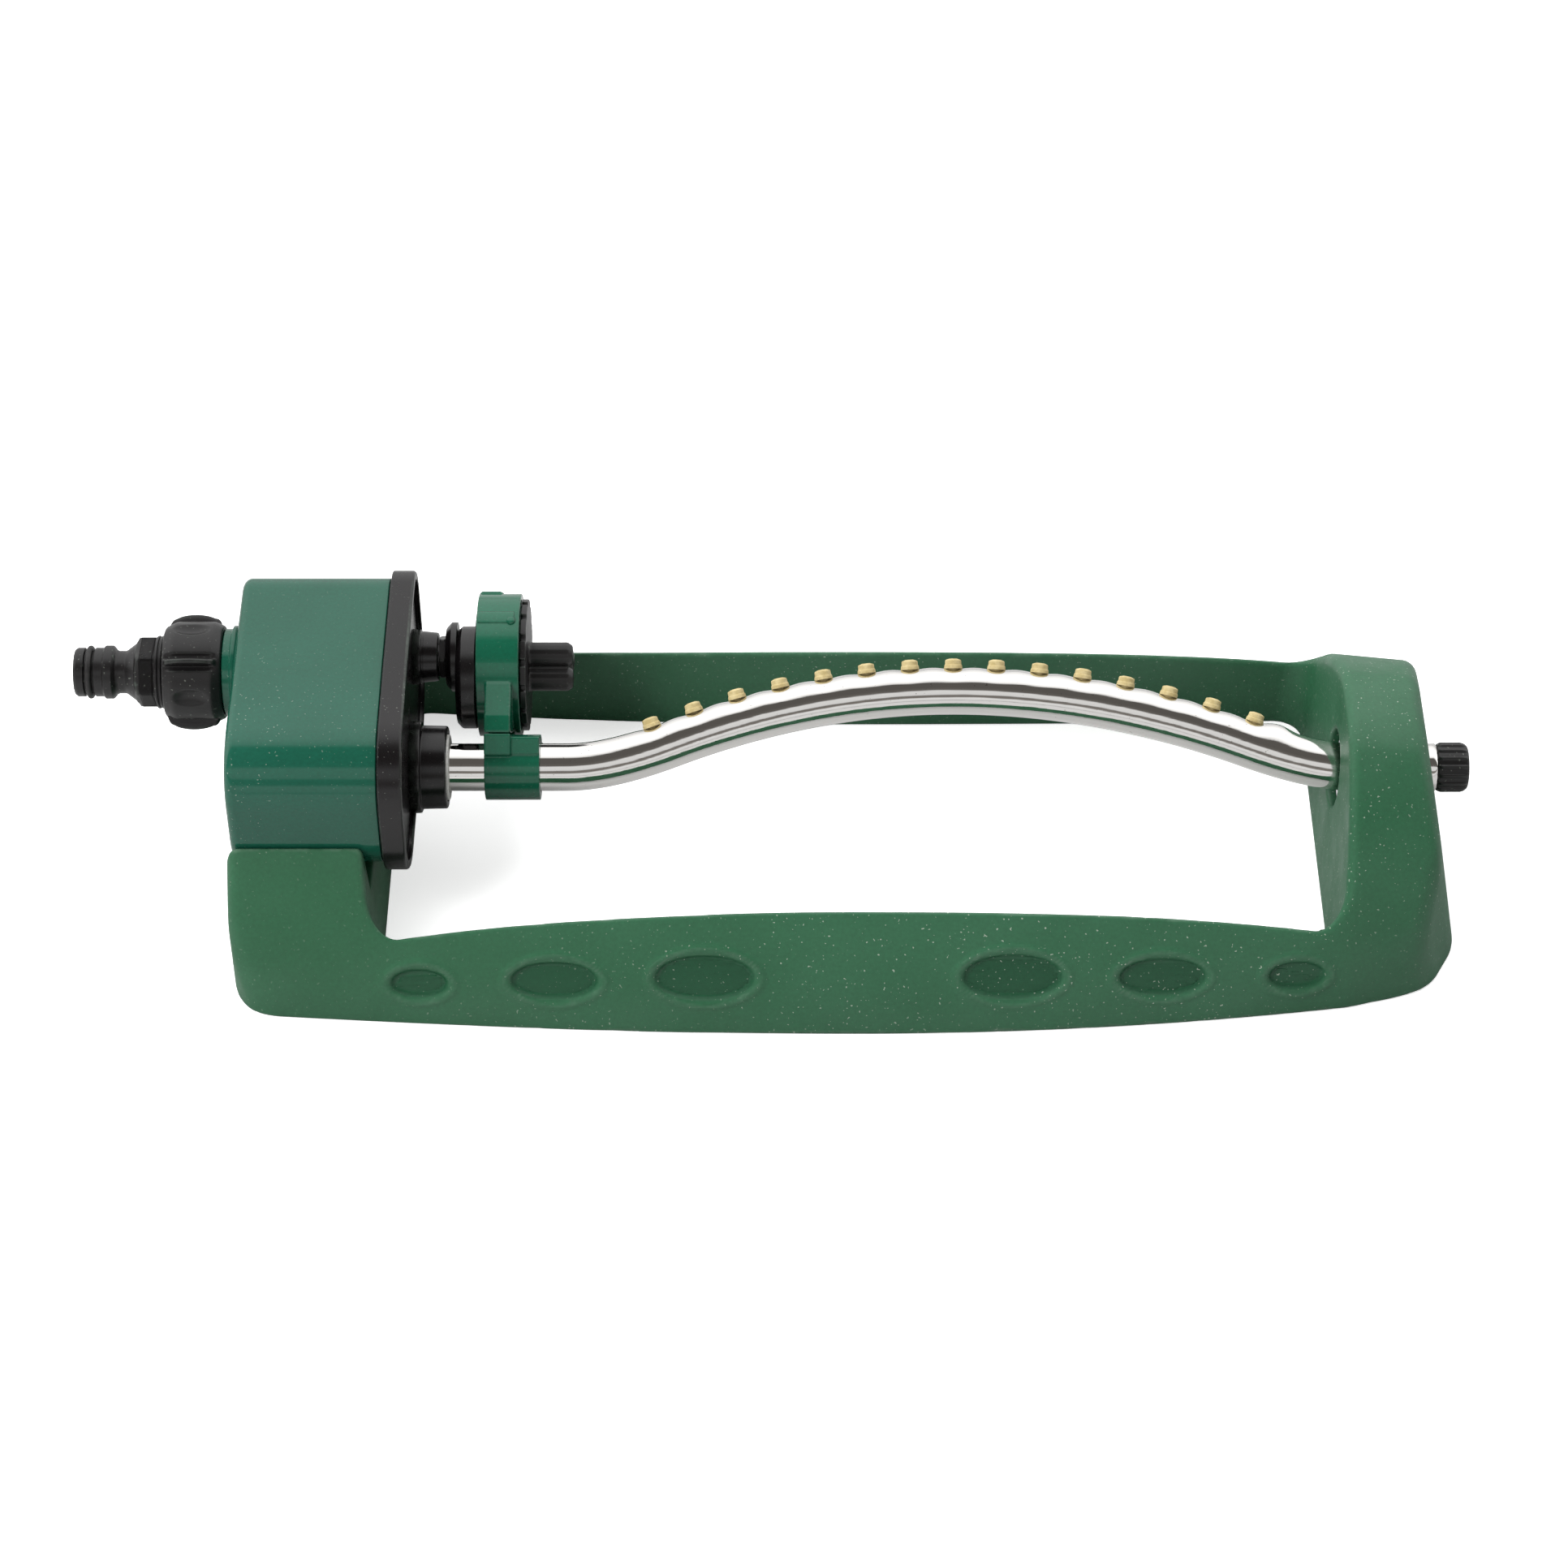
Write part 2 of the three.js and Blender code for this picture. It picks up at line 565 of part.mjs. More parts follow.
// The arch is swept; the two straight ends carry on from it as plain rods.
function sprayTube() {
  const bend = { from: -72, to: 198 };
  const solid = (radius, left, right, steps, sides) =>
    join(
      sweepAlongArch(radius, bend.from, bend.to, steps, sides),
      rod(left, bend.from + 2, radius, 0, 0, sides),
      rod(bend.to - 2, right, radius, 0, 0, sides),
    );
  const outside = solid(TUBE.radius, TUBE.left, TUBE.right, 26, 14);
  const inside = solid(TUBE.bore, TUBE.left - 5, TUBE.right + 5, 16, 12);
  const holes = nozzlePlaces.map((place) => onTube(upright(NOZZLE.stem + 0.25, 5, 10, 6), place));
  return cut(outside, inside, ...holes);
}

function nozzle(place) {
  const head = upright(NOZZLE.radius, NOZZLE.seat, NOZZLE.tip, 12);
  const stem = upright(NOZZLE.stem, 5.6, NOZZLE.seat + 0.5, 6);
  return onTube(cut(join(head, stem), upright(NOZZLE.jet, 0, 15, 5)), place);
}

function endPlug() {
  const head = rod(TUBE.right + GAP, 233.5, 7.7, 0, 0, 24);
  const ribs = [];
  for (let i = 0; i < 8; i++) {
    const rib = new THREE.BoxGeometry(10.4, 2.6, 2).translate(228, 0, 7.3);
    ribs.push(solidOf(rib.rotateX(i * EIGHTH_TURN)));
  }
  const shank = rod(208, TUBE.right + 1, TUBE.bore - 0.4, 0, 0);
  const groove = collar(216, 218.6, 5, 9, 0, 0, 16);
  return cut(join(head, ...ribs, cut(shank, groove)), rod(230.5, 240, 5, 0, 0, 16));
}

// ---------------------------------------------------------------- crank, strap and clamp
const STRAP_AXIS = { y: SHAFT.y + CRANK_OFFSET.y, z: SHAFT.z + CRANK_OFFSET.z };

// A point in the crank's plane: up and toward the front are both at 45 degrees to the ground.
function leaning(origin, up, front) {
  return new THREE.Vector2(origin.y + (up - front) * Math.SQRT1_2, origin.z + (up + front) * Math.SQRT1_2);
}

function leaningBox(origin, up0, front0, up1, front1, x0, x1) {
  const corners = [[up0, front0], [up1, front0], [up1, front1], [up0, front1]];
  return slab(new THREE.Shape(corners.map(([up, front]) => leaning(origin, up, front))), x0, x1);
}

function crankDisc() {
  const web = leaning(SHAFT, -6.9, -2);
  const dish = turned([[0, -110.7], [10, -110.7], [11.8, -109], [11.8, -106], [0, -106]], SHAFT.y, SHAFT.z);
  const disc = rod(-107.1, -100.5, 17.4, web.x, web.y, 28);
  const sheave = rod(-100.8, STRAP.right, STRAP.bore - 0.4, STRAP_AXIS.y, STRAP_AXIS.z, 28);
  const bore = rod(-120, -96, SHAFT.radius + GAP, SHAFT.y, SHAFT.z);
  return cut(join(dish, disc, sheave), bore);
}

function shaftNut() {
  const hex = rod(-112.9, -111, 7.6, SHAFT.y, SHAFT.z, 6);
  return cut(hex, rod(-120, -100, SHAFT.radius + GAP, SHAFT.y, SHAFT.z));
}

function patternDial() {
  const { y, z } = STRAP_AXIS;
  const face = rod(STRAP.right + GAP, -83.4, 22.4, y, z, 36);
  const notches = [];
  for (let i = 0; i < 16; i++) {
    const notch = new THREE.BoxGeometry(6, 2.4, 2.4).translate(-84.8, 0, 22.4);
    notches.push(solidOf(notch.rotateX((i * Math.PI) / 8).translate(0, y, z)));
  }
  const lobes = [90, 210, 330].map((degrees) => {
    const middle = polar({ y, z }, 4.9, degrees);
    const profile = [[0, -84], [4.2, -84], [4.2, -70], [3, -68.4], [0, -68]];
    return turned(profile, middle.y, middle.z, 16);
  });
  const core = rod(-84, -70, 4.6, y, z, 16);
  return join(cut(face, ...notches), core, ...lobes);
}

function linkStrap() {
  const { y, z } = STRAP_AXIS;
  const ring = rod(STRAP.left, STRAP.right, STRAP.radius, y, z, 28);
  const side = [[11.6, -14], [11.6, 12], [17, 11.2], [30, 5.2], [30, -14]];
  const outline = new THREE.Shape(side.map(([up, front]) => leaning(TUBE, up, front)));
  const plate = slab(outline, ARM.left, ARM.right);
  const shank = leaningBox(TUBE, 3, -19.6, 22, -11.8, ARM.left, ARM.right);
  const eye = rod(ARM.left, ARM.right, 4.2, LINK_PIN.y, LINK_PIN.z, 16);
  const latch = leaningBox({ y, z }, 20, -4, 25, 3, STRAP.left, -92);
  const solid = join(ring, plate, shank, eye, latch);
  const bore = rod(-110, -80, STRAP.bore, y, z, 28);
  return cut(solid, bore, rod(-110, -80, LINK_PIN.radius + GAP, LINK_PIN.y, LINK_PIN.z, 12));
}

function linkPin() {
  return join(
    rod(ARM.left + 0.2, CLAMP.right + 1.2, LINK_PIN.radius, LINK_PIN.y, LINK_PIN.z, 12),
    rod(ARM.left - 1.8, ARM.left - GAP, 3, LINK_PIN.y, LINK_PIN.z, 12),
    rod(ARM.left - 0.5, ARM.left + 0.5, LINK_PIN.radius, LINK_PIN.y, LINK_PIN.z, 12),
  );
}

// The clamp wraps the tube; a lug behind it carries the pin beside the strap's arm.
function tubeClamp() {
  const { left, right, radius } = CLAMP;
  const lugLeft = ARM.right + GAP;
  const barrel = rod(left, right, radius, TUBE.y, TUBE.z, 28);
  const shoulder = leaningBox(TUBE, 2.5, 0, 10.2, 10.9, left, right);
  const pad = leaningBox(TUBE, 4, 5, 11.2, 12.2, left, ARM.right);
  const lug = leaningBox(TUBE, -2.4, -15, 8.4, 0, lugLeft, right);
  const eye = rod(lugLeft, right, 5.4, LINK_PIN.y, LINK_PIN.z, 16);
  const bore = rod(-120, -60, CLAMP.bore, TUBE.y, TUBE.z);
  const pinHole = rod(-120, -60, CLAMP.pinHole, LINK_PIN.y, LINK_PIN.z, 16);
  return cut(join(barrel, shoulder, pad, lug, eye), bore, pinHole);
}

// ---------------------------------------------------------------- the assembly
const sprinkler = new THREE.Group();
const rocker = new THREE.Group(); // the tube and what is fixed on it, rolled back about its axis
rocker.position.set(0, TUBE.y, TUBE.z);
rocker.rotation.x = -TUBE_ROLL_BACK;
sprinkler.add(rocker);

const FINISHES = {
  satinGreen: { color: 0x3f6b55, roughness: 0.6, metalness: 0 },
  glossGreen: { color: 0x2f5f50, roughness: 0.3, metalness: 0 },
  clipGreen: { color: 0x1c5441, roughness: 0.4, metalness: 0 },
  black: { color: 0x2c2a2b, roughness: 0.35, metalness: 0 },
  rubber: { color: 0x1a1a1a, roughness: 0.8, metalness: 0 },
  tan: { color: 0xb09b68, roughness: 0.7, metalness: 0 },
  bright: { color: 0xd8d8d8, roughness: 0.12, metalness: 1 },
  steel: { color: 0x9a9a9a, roughness: 0.35, metalness: 1 },
  white: { color: 0xe6e4de, roughness: 0.5, metalness: 0 },
};

function add(name, solid, finish, group = sprinkler) {
  const mesh = new THREE.Mesh(geometryOf(solid), new THREE.MeshStandardMaterial(FINISHES[finish]));
  mesh.name = name;
  group.add(mesh);
}

add("base_frame", baseFrame(), "satinGreen");
BASE_SCREWS.forEach((place, i) => add(`base_screw_${i + 1}`, baseScrew(place), "steel"));
add("arch_bearing", archBearing(), "black");

add("gearbox_housing", gearboxHousing(), "glossGreen");
add("gearbox_cover", gearboxCover(), "black");
add("cover_gasket", coverGasket(), "rubber");
COVER_SCREWS.forEach((place, i) => add(`cover_screw_${i + 1}`, coverScrew(place), "steel"));
add("divider_plate", dividerPlate(), "white");
add("tube_seal", collar(-111.6, -108.9, TUBE.radius + GAP, 11.1, TUBE.y, TUBE.z), "white");
add("shaft_seal", collar(-127.6, -124.7, SHAFT.radius + GAP, 6.3, SHAFT.y, SHAFT.z, 16), "rubber");

add("swivel_nut", swivelNut(), "black");
add("hose_tail", hoseTail(), "black");
add("hose_tail_oring", oRing(-228.45, 8.1, 0.85, INLET.y, INLET.z), "rubber");
add("inlet_washer", collar(-199.6, -199.2, 9.2, 12.6, INLET.y, INLET.z), "rubber");
add("inlet_filter", inletFilter(), "white");

add("turbine_rotor", turbineRotor(), "white");
add("turbine_pin", rod(-176.6, PIN_END, PIN_RADIUS, ROTOR.y, ROTOR.z, 12), "steel");
add("idler_gear_1", idler(IDLER_1, ROTOR, IDLER_2, { wheel: -146.5, step: -142.6, end: -137 }), "white");
add("idler_pin_1", rod(-151.4, PIN_END, PIN_RADIUS, IDLER_1.y, IDLER_1.z, 12), "steel");
add("idler_gear_2", idler(IDLER_2, IDLER_1, SHAFT, { wheel: -141.6, step: -137.8, end: -131.4 }), "white");
add("idler_pin_2", rod(-151.4, PIN_END, PIN_RADIUS, IDLER_2.y, IDLER_2.z, 12), "steel");
add("output_gear", outputGear(), "white");

add("drive_shaft", rod(-136, -96.3, SHAFT.radius, SHAFT.y, SHAFT.z), "steel");
add("shaft_nut", shaftNut(), "black");
add("crank_disc", crankDisc(), "black");
add("pattern_dial", patternDial(), "black");
add("link_strap", linkStrap(), "clipGreen");
add("link_pin", linkPin(), "steel");
add("tube_clamp", tubeClamp(), "clipGreen");

add("spray_tube", sprayTube(), "bright", rocker);
nozzlePlaces.forEach((place, i) =>
  add(`nozzle_${String(i + 1).padStart(2, "0")}`, nozzle(place), "tan", rocker),
);
add("end_plug", endPlug(), "black", rocker);
add("plug_oring", oRing(217.3, 5.85, 0.55, 0, 0), "rubber", rocker);

function archBearing() {
  const sleeve = rod(196, 219.2, 10, TUBE.y, TUBE.z);
  const flange = rod(196, 198, 12.4, TUBE.y, TUBE.z);
  return cut(join(sleeve, flange), rod(190, 230, TUBE.radius + GAP, TUBE.y, TUBE.z));
}

export default sprinkler;
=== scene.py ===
"""Looks for the oscillating lawn sprinkler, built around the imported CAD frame. Metres, +Z up."""

import json
import math

import bmesh
import bpy
import numpy as np
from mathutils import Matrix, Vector


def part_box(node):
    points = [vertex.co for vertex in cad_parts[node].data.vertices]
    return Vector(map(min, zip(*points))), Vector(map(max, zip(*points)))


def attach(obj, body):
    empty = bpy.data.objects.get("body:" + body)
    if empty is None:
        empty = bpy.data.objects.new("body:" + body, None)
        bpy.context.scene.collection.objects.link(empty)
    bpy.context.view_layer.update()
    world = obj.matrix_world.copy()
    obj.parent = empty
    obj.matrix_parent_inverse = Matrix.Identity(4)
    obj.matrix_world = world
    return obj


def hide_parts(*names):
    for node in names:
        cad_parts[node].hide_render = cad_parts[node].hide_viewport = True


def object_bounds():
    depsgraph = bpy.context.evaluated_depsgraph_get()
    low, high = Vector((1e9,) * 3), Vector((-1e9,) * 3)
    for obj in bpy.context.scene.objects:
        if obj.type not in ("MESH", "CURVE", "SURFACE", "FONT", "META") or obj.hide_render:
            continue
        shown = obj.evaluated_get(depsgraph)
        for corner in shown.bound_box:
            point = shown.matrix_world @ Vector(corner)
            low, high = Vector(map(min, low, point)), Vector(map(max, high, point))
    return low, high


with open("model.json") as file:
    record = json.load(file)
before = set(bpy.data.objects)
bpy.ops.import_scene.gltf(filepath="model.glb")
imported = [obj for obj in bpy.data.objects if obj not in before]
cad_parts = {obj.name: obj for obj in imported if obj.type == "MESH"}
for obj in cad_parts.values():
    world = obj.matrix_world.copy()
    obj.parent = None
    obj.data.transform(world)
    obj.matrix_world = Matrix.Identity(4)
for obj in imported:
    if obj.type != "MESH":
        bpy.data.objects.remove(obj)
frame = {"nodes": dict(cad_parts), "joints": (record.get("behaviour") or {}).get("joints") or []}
CAD_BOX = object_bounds()

MM = 0.001
JOINTS = {joint["name"]: joint for joint in frame["joints"]}


def axis_of(joint):
    """Where a joint's axis crosses the YZ plane, in metres."""
    return JOINTS[joint]["pos_m"][1], JOINTS[joint]["pos_m"][2]


# ------------------------------------------------------------------ driving dimensions
TUBE_AXIS = axis_of("tube_swing")
SHAFT_AXIS = axis_of("crank_turn")
STRAP_AXIS = axis_of("link_tilt")
INLET_AXIS = axis_of("nut_spin")

# the base's outer skin, as in the CAD: an arch at the right end and bars that bow out at the ground
LEFT = -179.3 * MM
RIGHT = 228.5 * MM
DRAFT = 14.5 / 78
LEFT_SKIN = (78 * MM, 1.7, 0.62)  # crest height and the curve's two powers
RIGHT_SKIN = (70.5 * MM, 1.9, 0.7)
SKIN_CHANGE_FROM = -120 * MM
SKIN_CHANGE_LENGTH = 80 * MM
SKIN_ABOVE_CREST = 3 * MM  # the two sides' curves would meet this far above the crest
ARCH_HALF_WIDTH = 72 * MM
MIDDLE_X = 28 * MM
BOW = 13 * MM
BOW_FADE = 45 * MM
BOW_RIGHT_REACH = 170.5 * MM
BOW_LEFT_LOSS = 8 * MM
BOW_LEFT_REACH = 207.3 * MM
TAPER_FROM = 190 * MM
TAPER = 0.1

# the base's ends, on the ground, and the rate at which the left end widens toward the middle
CORNER_X = 198.5 * MM
CORNER_HALF_WIDTH = 73.5 * MM
RIGHT_FACE_HALF_WIDTH = 46 * MM
LEFT_HALF_WIDTH = 77.5 * MM
LEFT_SPREAD = 0.07

# the opening between the bars, with walls that lean outward with height, and the gearbox's cradle
OPENING_LEFT = -130.5 * MM
OPENING_LEFT_SLOPE = 0.077
OPENING_RIGHT = 185.8 * MM
OPENING_RIGHT_SLOPE = 0.065
OPENING_HALF_WIDTH = 61.3 * MM
OPENING_HALF_LENGTH = 158 * MM
OPENING_FLARE_RIGHT = 2 * MM
OPENING_FLARE_LEFT = 6.3 * MM
CRADLE_HALF_WIDTH = 48.4 * MM
CRADLE_FLOOR = 31.5 * MM
CRADLE_RIGHT = -114.5 * MM

# the bearing hole in the arch, wider on the inner side
HOLE_INNER_RADIUS = 13 * MM
HOLE_RADIUS = 10.3 * MM
HOLE_STEP_X = 200 * MM

RECESS_DEPTH = 1.8 * MM
RECESS_EDGE = 1.7 * MM
LIP_HEIGHT = 0.8 * MM
LIP_OFFSET = 1.9 * MM
LIP_WIDTH = 1.1 * MM
RECESSES = [  # distance from the middle, half length, half height, height of the centre
    (50.6 * MM, 16.8 * MM, 8.0 * MM, 17.9 * MM),
    (100 * MM, 14.8 * MM, 6.8 * MM, 16.5 * MM),
    (144.5 * MM, 9.9 * MM, 5.3 * MM, 14.7 * MM),
]

# the spray tube's arch, in the plane that leans back by an eighth of a turn at rest
TUBE_RADIUS = 8 * MM
TUBE_BORE = 6.8 * MM
ARCH_PEAK_X = 60.5 * MM
ARCH_RISE = 25.7 * MM
ARCH_LEFT_RADIUS = 253 * MM
ARCH_RIGHT_RADIUS = 277 * MM
ARCH_BLEND = 8 * MM
LEAN = math.radians(45)
UP = Vector((0, math.sin(LEAN), math.cos(LEAN)))
FRONT = Vector((0, -math.cos(LEAN), math.sin(LEAN)))
NOZZLES = 15
NOZZLE_FIRST_X = -38.4 * MM
NOZZLE_LAST_X = 159.4 * MM

ALONG = Vector((1, 0, 0))


# ------------------------------------------------------------------ meshes
def new_object(name, points, faces, smooth=True):
    mesh = bpy.data.meshes.new(name)
    mesh.from_pydata([tuple(point) for point in points], [], faces)
    mesh.validate()
    mesh.update()
    if smooth:
        mesh.polygons.foreach_set("use_smooth", [True] * len(mesh.polygons))
    made = bpy.data.objects.new(name, mesh)
    bpy.context.scene.collection.objects.link(made)
    return made


def place(piece, body, slot, material, *nodes):
    """Gives a piece its material and its body, and hides the CAD nodes that it stands for; slot is not used.
    """
    piece.data.materials.clear()
    piece.data.materials.append(material)
    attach(piece, body)
    if nodes:
        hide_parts(*nodes)
    return piece


def rounded(corners, steps=4):
    """A closed outline from (a, b, radius) corners, each corner an arc."""
    outline = []
    for i, (a, b, radius) in enumerate(corners):
        here = Vector((a, b))
        if radius <= 0:
            outline.append(here)
            continue
        before = (Vector(corners[i - 1][:2]) - here).normalized()
        after = (Vector(corners[(i + 1) % len(corners)][:2]) - here).normalized()
        half = math.acos(max(-1, min(1, before.dot(after)))) / 2
        reach = radius / math.tan(half)
        centre = here + (before + after).normalized() * radius / math.sin(half)
        start, end = here + before * reach - centre, here + after * reach - centre
        first = math.atan2(start.y, start.x)
        sweep = (math.atan2(end.y, end.x) - first + math.pi) % (2 * math.pi) - math.pi
        for step in range(steps + 1):
            angle = first + sweep * step / steps
            outline.append(centre + Vector((math.cos(angle), math.sin(angle))) * radius)
    return outline


def divided(outline, longest):
    """The same closed outline with no stretch longer than given."""
    points = []
    for i, start in enumerate(outline):
        end = outline[(i + 1) % len(outline)]
        count = max(1, math.ceil((end - start).length / longest))
        points += [start.lerp(end, k / count) for k in range(count)]
    return points


def turned(name, profile, origin, axis=ALONG, segments=96, longest=None, shape=None):
    """A (radius, distance along the axis, fillet) profile in millimetres, turned about the axis.

    shape(radius, along, angle) may change the radius, to add ribs, flats or dimples.
    """
    outline = rounded(profile)
    if longest:
        outline = divided(outline, longest)
    if abs(axis.dot(ALONG)) > 0.99:
        side, other = FRONT, UP
    else:
        side = axis.cross(ALONG).normalized()
        other = axis.cross(side)
    points, faces = [], []
    count = len(outline)
    for ring in range(segments):
        angle = 2 * math.pi * ring / segments
        direction = side * math.cos(angle) + other * math.sin(angle)
        for radius, along in outline:
            if shape and radius > 0:
                radius = shape(radius, along, angle)
            points.append(Vector(origin) + axis * along * MM + direction * radius * MM)
    for ring in range(segments):
        nearby = (ring + 1) % segments
        for i in range(count):
            j = (i + 1) % count
            if outline[i].x <= 1e-6 and outline[j].x <= 1e-6:
                continue
            faces.append((ring * count + i, ring * count + j, nearby * count + j, nearby * count + i))
    made = new_object(name, points, faces)
    tidy(made)
    return made


def tidy(piece):
    """Joins doubled points, drops what collapses and turns every face outward."""
    mesh = bmesh.new()
    mesh.from_mesh(piece.data)
    bmesh.ops.remove_doubles(mesh, verts=mesh.verts, dist=1e-7)
    bmesh.ops.dissolve_degenerate(mesh, edges=mesh.edges, dist=1e-7)
    bmesh.ops.recalc_face_normals(mesh, faces=mesh.faces)
    mesh.to_mesh(piece.data)
    mesh.free()
    piece.data.polygons.foreach_set("use_smooth", [True] * len(piece.data.polygons))
    even = piece.modifiers.new("even_shading", "WEIGHTED_NORMAL")
    even.keep_sharp = True


def joined(name, pieces):
    """Several closed meshes in one object."""
    points, faces = [], []
    for piece in pieces:
        start = len(points)
        points += [vertex.co.copy() for vertex in piece.data.vertices]
        faces += [tuple(start + i for i in face.vertices) for face in piece.data.polygons]
        bpy.data.objects.remove(piece)
    made = new_object(name, points, faces)
    tidy(made)
    return made


def evaluated(piece):
    """The piece's mesh with its modifiers worked out, in their place."""
    bpy.context.view_layer.update()
    graph = bpy.context.evaluated_depsgraph_get()
    mesh = bpy.data.meshes.new_from_object(piece.evaluated_get(graph))
    piece.modifiers.clear()
    piece.data = mesh
    return piece


def positions(piece):
    points = np.zeros(len(piece.data.vertices) * 3)
    piece.data.vertices.foreach_get("co", points)
    return points.reshape(-1, 3)


def set_positions(piece, points):
    piece.data.vertices.foreach_set("co", points.ravel())
    piece.data.update()


def relaxed(piece, rounds, pull=0.5, push=0.35):
    """Rounds off a fine mesh's edges: each point moves toward its neighbours, then part of the way back."""
    mesh = piece.data
    edges = np.zeros(len(mesh.edges) * 2, dtype=np.int64)
    mesh.edges.foreach_get("vertices", edges)
    edges = edges.reshape(-1, 2)
    starts = np.concatenate([edges[:, 0], edges[:, 1]])
    ends = np.concatenate([edges[:, 1], edges[:, 0]])
    points = positions(piece)
    degree = np.maximum(np.bincount(starts, minlength=len(points)), 1)
    for _ in range(rounds):
        for amount in (pull, -push):
            middle = [
                np.bincount(starts, weights=points[ends, k], minlength=len(points)) / degree
                for k in range(3)
            ]
            points = points + amount * (np.stack(middle, axis=1) - points)
    set_positions(piece, points)


def pulled_to(points, curve, reach):
    """Points whose (y, z) lies within reach of a closed (y, z) curve, moved onto it."""
    curve = np.array([[a, b] for a, b in curve])
    nearby = np.roll(curve, -1, axis=0)
    flat = points[:, 1:3]
    best = np.full(len(flat), np.inf)
    target = flat.copy()
    for start, end in zip(curve, nearby):
        run = end - start
        share = np.clip(((flat - start) @ run) / max(run @ run, 1e-18), 0, 1)
        closest = start + share[:, None] * run
        distance = np.linalg.norm(flat - closest, axis=1)
        nearer = distance < best
        best[nearer] = distance[nearer]
        target[nearer] = closest[nearer]
    close = best < reach
    points[close, 1:3] = target[close]
    return points


def moulded(name, node, voxel, curves=(), rounds=3):
    """A fine, soft-edged copy of a CAD node; each (x0, x1, curve) is a stretch that is truly round."""
    piece = bpy.data.objects.new(name, frame["nodes"][node].data.copy())
    bpy.context.scene.collection.objects.link(piece)
    remesh = piece.modifiers.new("fine", "REMESH")
    remesh.mode = "VOXEL"
    remesh.voxel_size = voxel
    evaluated(piece)
    points = positions(piece)
    for x0, x1, curve in curves:
        inside = (points[:, 0] > x0) & (points[:, 0] < x1)
        points[inside] = pulled_to(points[inside], curve, 1.6 * voxel)
    set_positions(piece, points)
    relaxed(piece, rounds)
    piece.data.polygons.foreach_set("use_smooth", [True] * len(piece.data.polygons))
    return piece


def circle(centre, radius, steps=96):
    """A (y, z) circle in metres."""
    angles = [2 * math.pi * k / steps for k in range(steps)]
    return [(centre[0] + radius * math.cos(a), centre[1] + radius * math.sin(a)) for a in angles]


# ------------------------------------------------------------------ materials
def srgb(red, green, blue):
    """A linear colour from 0 to 255 display values."""
    linear = [((c / 255 + 0.055) / 1.055) ** 2.4 if c > 10 else c / 255 / 12.92 for c in (red, green, blue)]
    return (*linear, 1.0)


class Finish:
    """A Principled material whose layers are all procedural, in the piece's own coordinates."""

    def __init__(self, name):
        self.material = bpy.data.materials.new(name)
        self.material.use_nodes = True
        self.tree = self.material.node_tree
        self.shader = self.tree.nodes["Principled BSDF"]
        self.coordinates = self.tree.nodes.new("ShaderNodeTexCoord").outputs["Object"]
        self.height = None

    def node(self, kind, **inputs):
        made = self.tree.nodes.new(kind)
        for key, value in inputs.items():
            socket = made.inputs[key.replace("_", " ")]
            if isinstance(value, bpy.types.NodeSocket):
                self.tree.links.new(value, socket)
            else:
                socket.default_value = value
        return made

    def stretched(self, x, y, z):
        mapping = self.node("ShaderNodeMapping", Vector=self.coordinates)
        mapping.inputs["Scale"].default_value = (x, y, z)
        return mapping.outputs["Vector"]

    def noise(self, scale, detail=4.0, roughness=0.5, vector=None):
        where = vector or self.coordinates
        made = self.node("ShaderNodeTexNoise", Vector=where, Scale=scale, Detail=detail)
        made.inputs["Roughness"].default_value = roughness
        return made.outputs["Fac"]

    def between(self, value, low, high, to_low=0.0, to_high=1.0):
        """The value mapped from low..high to to_low..to_high, and held there."""
        made = self.node("ShaderNodeMapRange", Value=value)
        made.inputs["From Min"].default_value = low
        made.inputs["From Max"].default_value = high
        made.inputs["To Min"].default_value = to_low
        made.inputs["To Max"].default_value = to_high
        return made.outputs["Result"]

    def math(self, kind, a, b=0.0):
        made = self.tree.nodes.new("ShaderNodeMath")
        made.operation = kind
        for socket, value in zip(made.inputs, (a, b)):
            if isinstance(value, bpy.types.NodeSocket):
                self.tree.links.new(value, socket)
            else:
                socket.default_value = value
        return made.outputs[0]

    def mix(self, share, a, b):
        made = self.tree.nodes.new("ShaderNodeMix")
        made.data_type = "RGBA"
        for socket, value in ((made.inputs["Factor"], share), (made.inputs["A"], a), (made.inputs["B"], b)):
            matches = [s for s in made.inputs if s.name == socket.name and s.type in ("RGBA", "VALUE")]
            socket = matches[-1] if socket.name in "AB" else matches[0]
            if isinstance(value, bpy.types.NodeSocket):
                self.tree.links.new(value, socket)
            else:
                socket.default_value = value
        return [s for s in made.outputs if s.type == "RGBA"][0]

    def bump(self, height, depth):
        """Adds a layer of relief; depth is in metres."""
        made = self.node("ShaderNodeBump", Height=height, Distance=depth)
        made.inputs["Strength"].default_value = 1.0
        if self.height:
            self.tree.links.new(self.height, made.inputs["Normal"])
        self.height = made.outputs["Normal"]

    def finish(self, colour, rough, **fixed):
        for name, value in (("Base Color", colour), ("Roughness", rough)):
            if isinstance(value, bpy.types.NodeSocket):
                self.tree.links.new(value, self.shader.inputs[name])
            else:
                self.shader.inputs[name].default_value = value
        if self.height:
            self.tree.links.new(self.height, self.shader.inputs["Normal"])
        for name, value in fixed.items():
            self.shader.inputs[name.replace("_", " ")].default_value = value
        return self.material


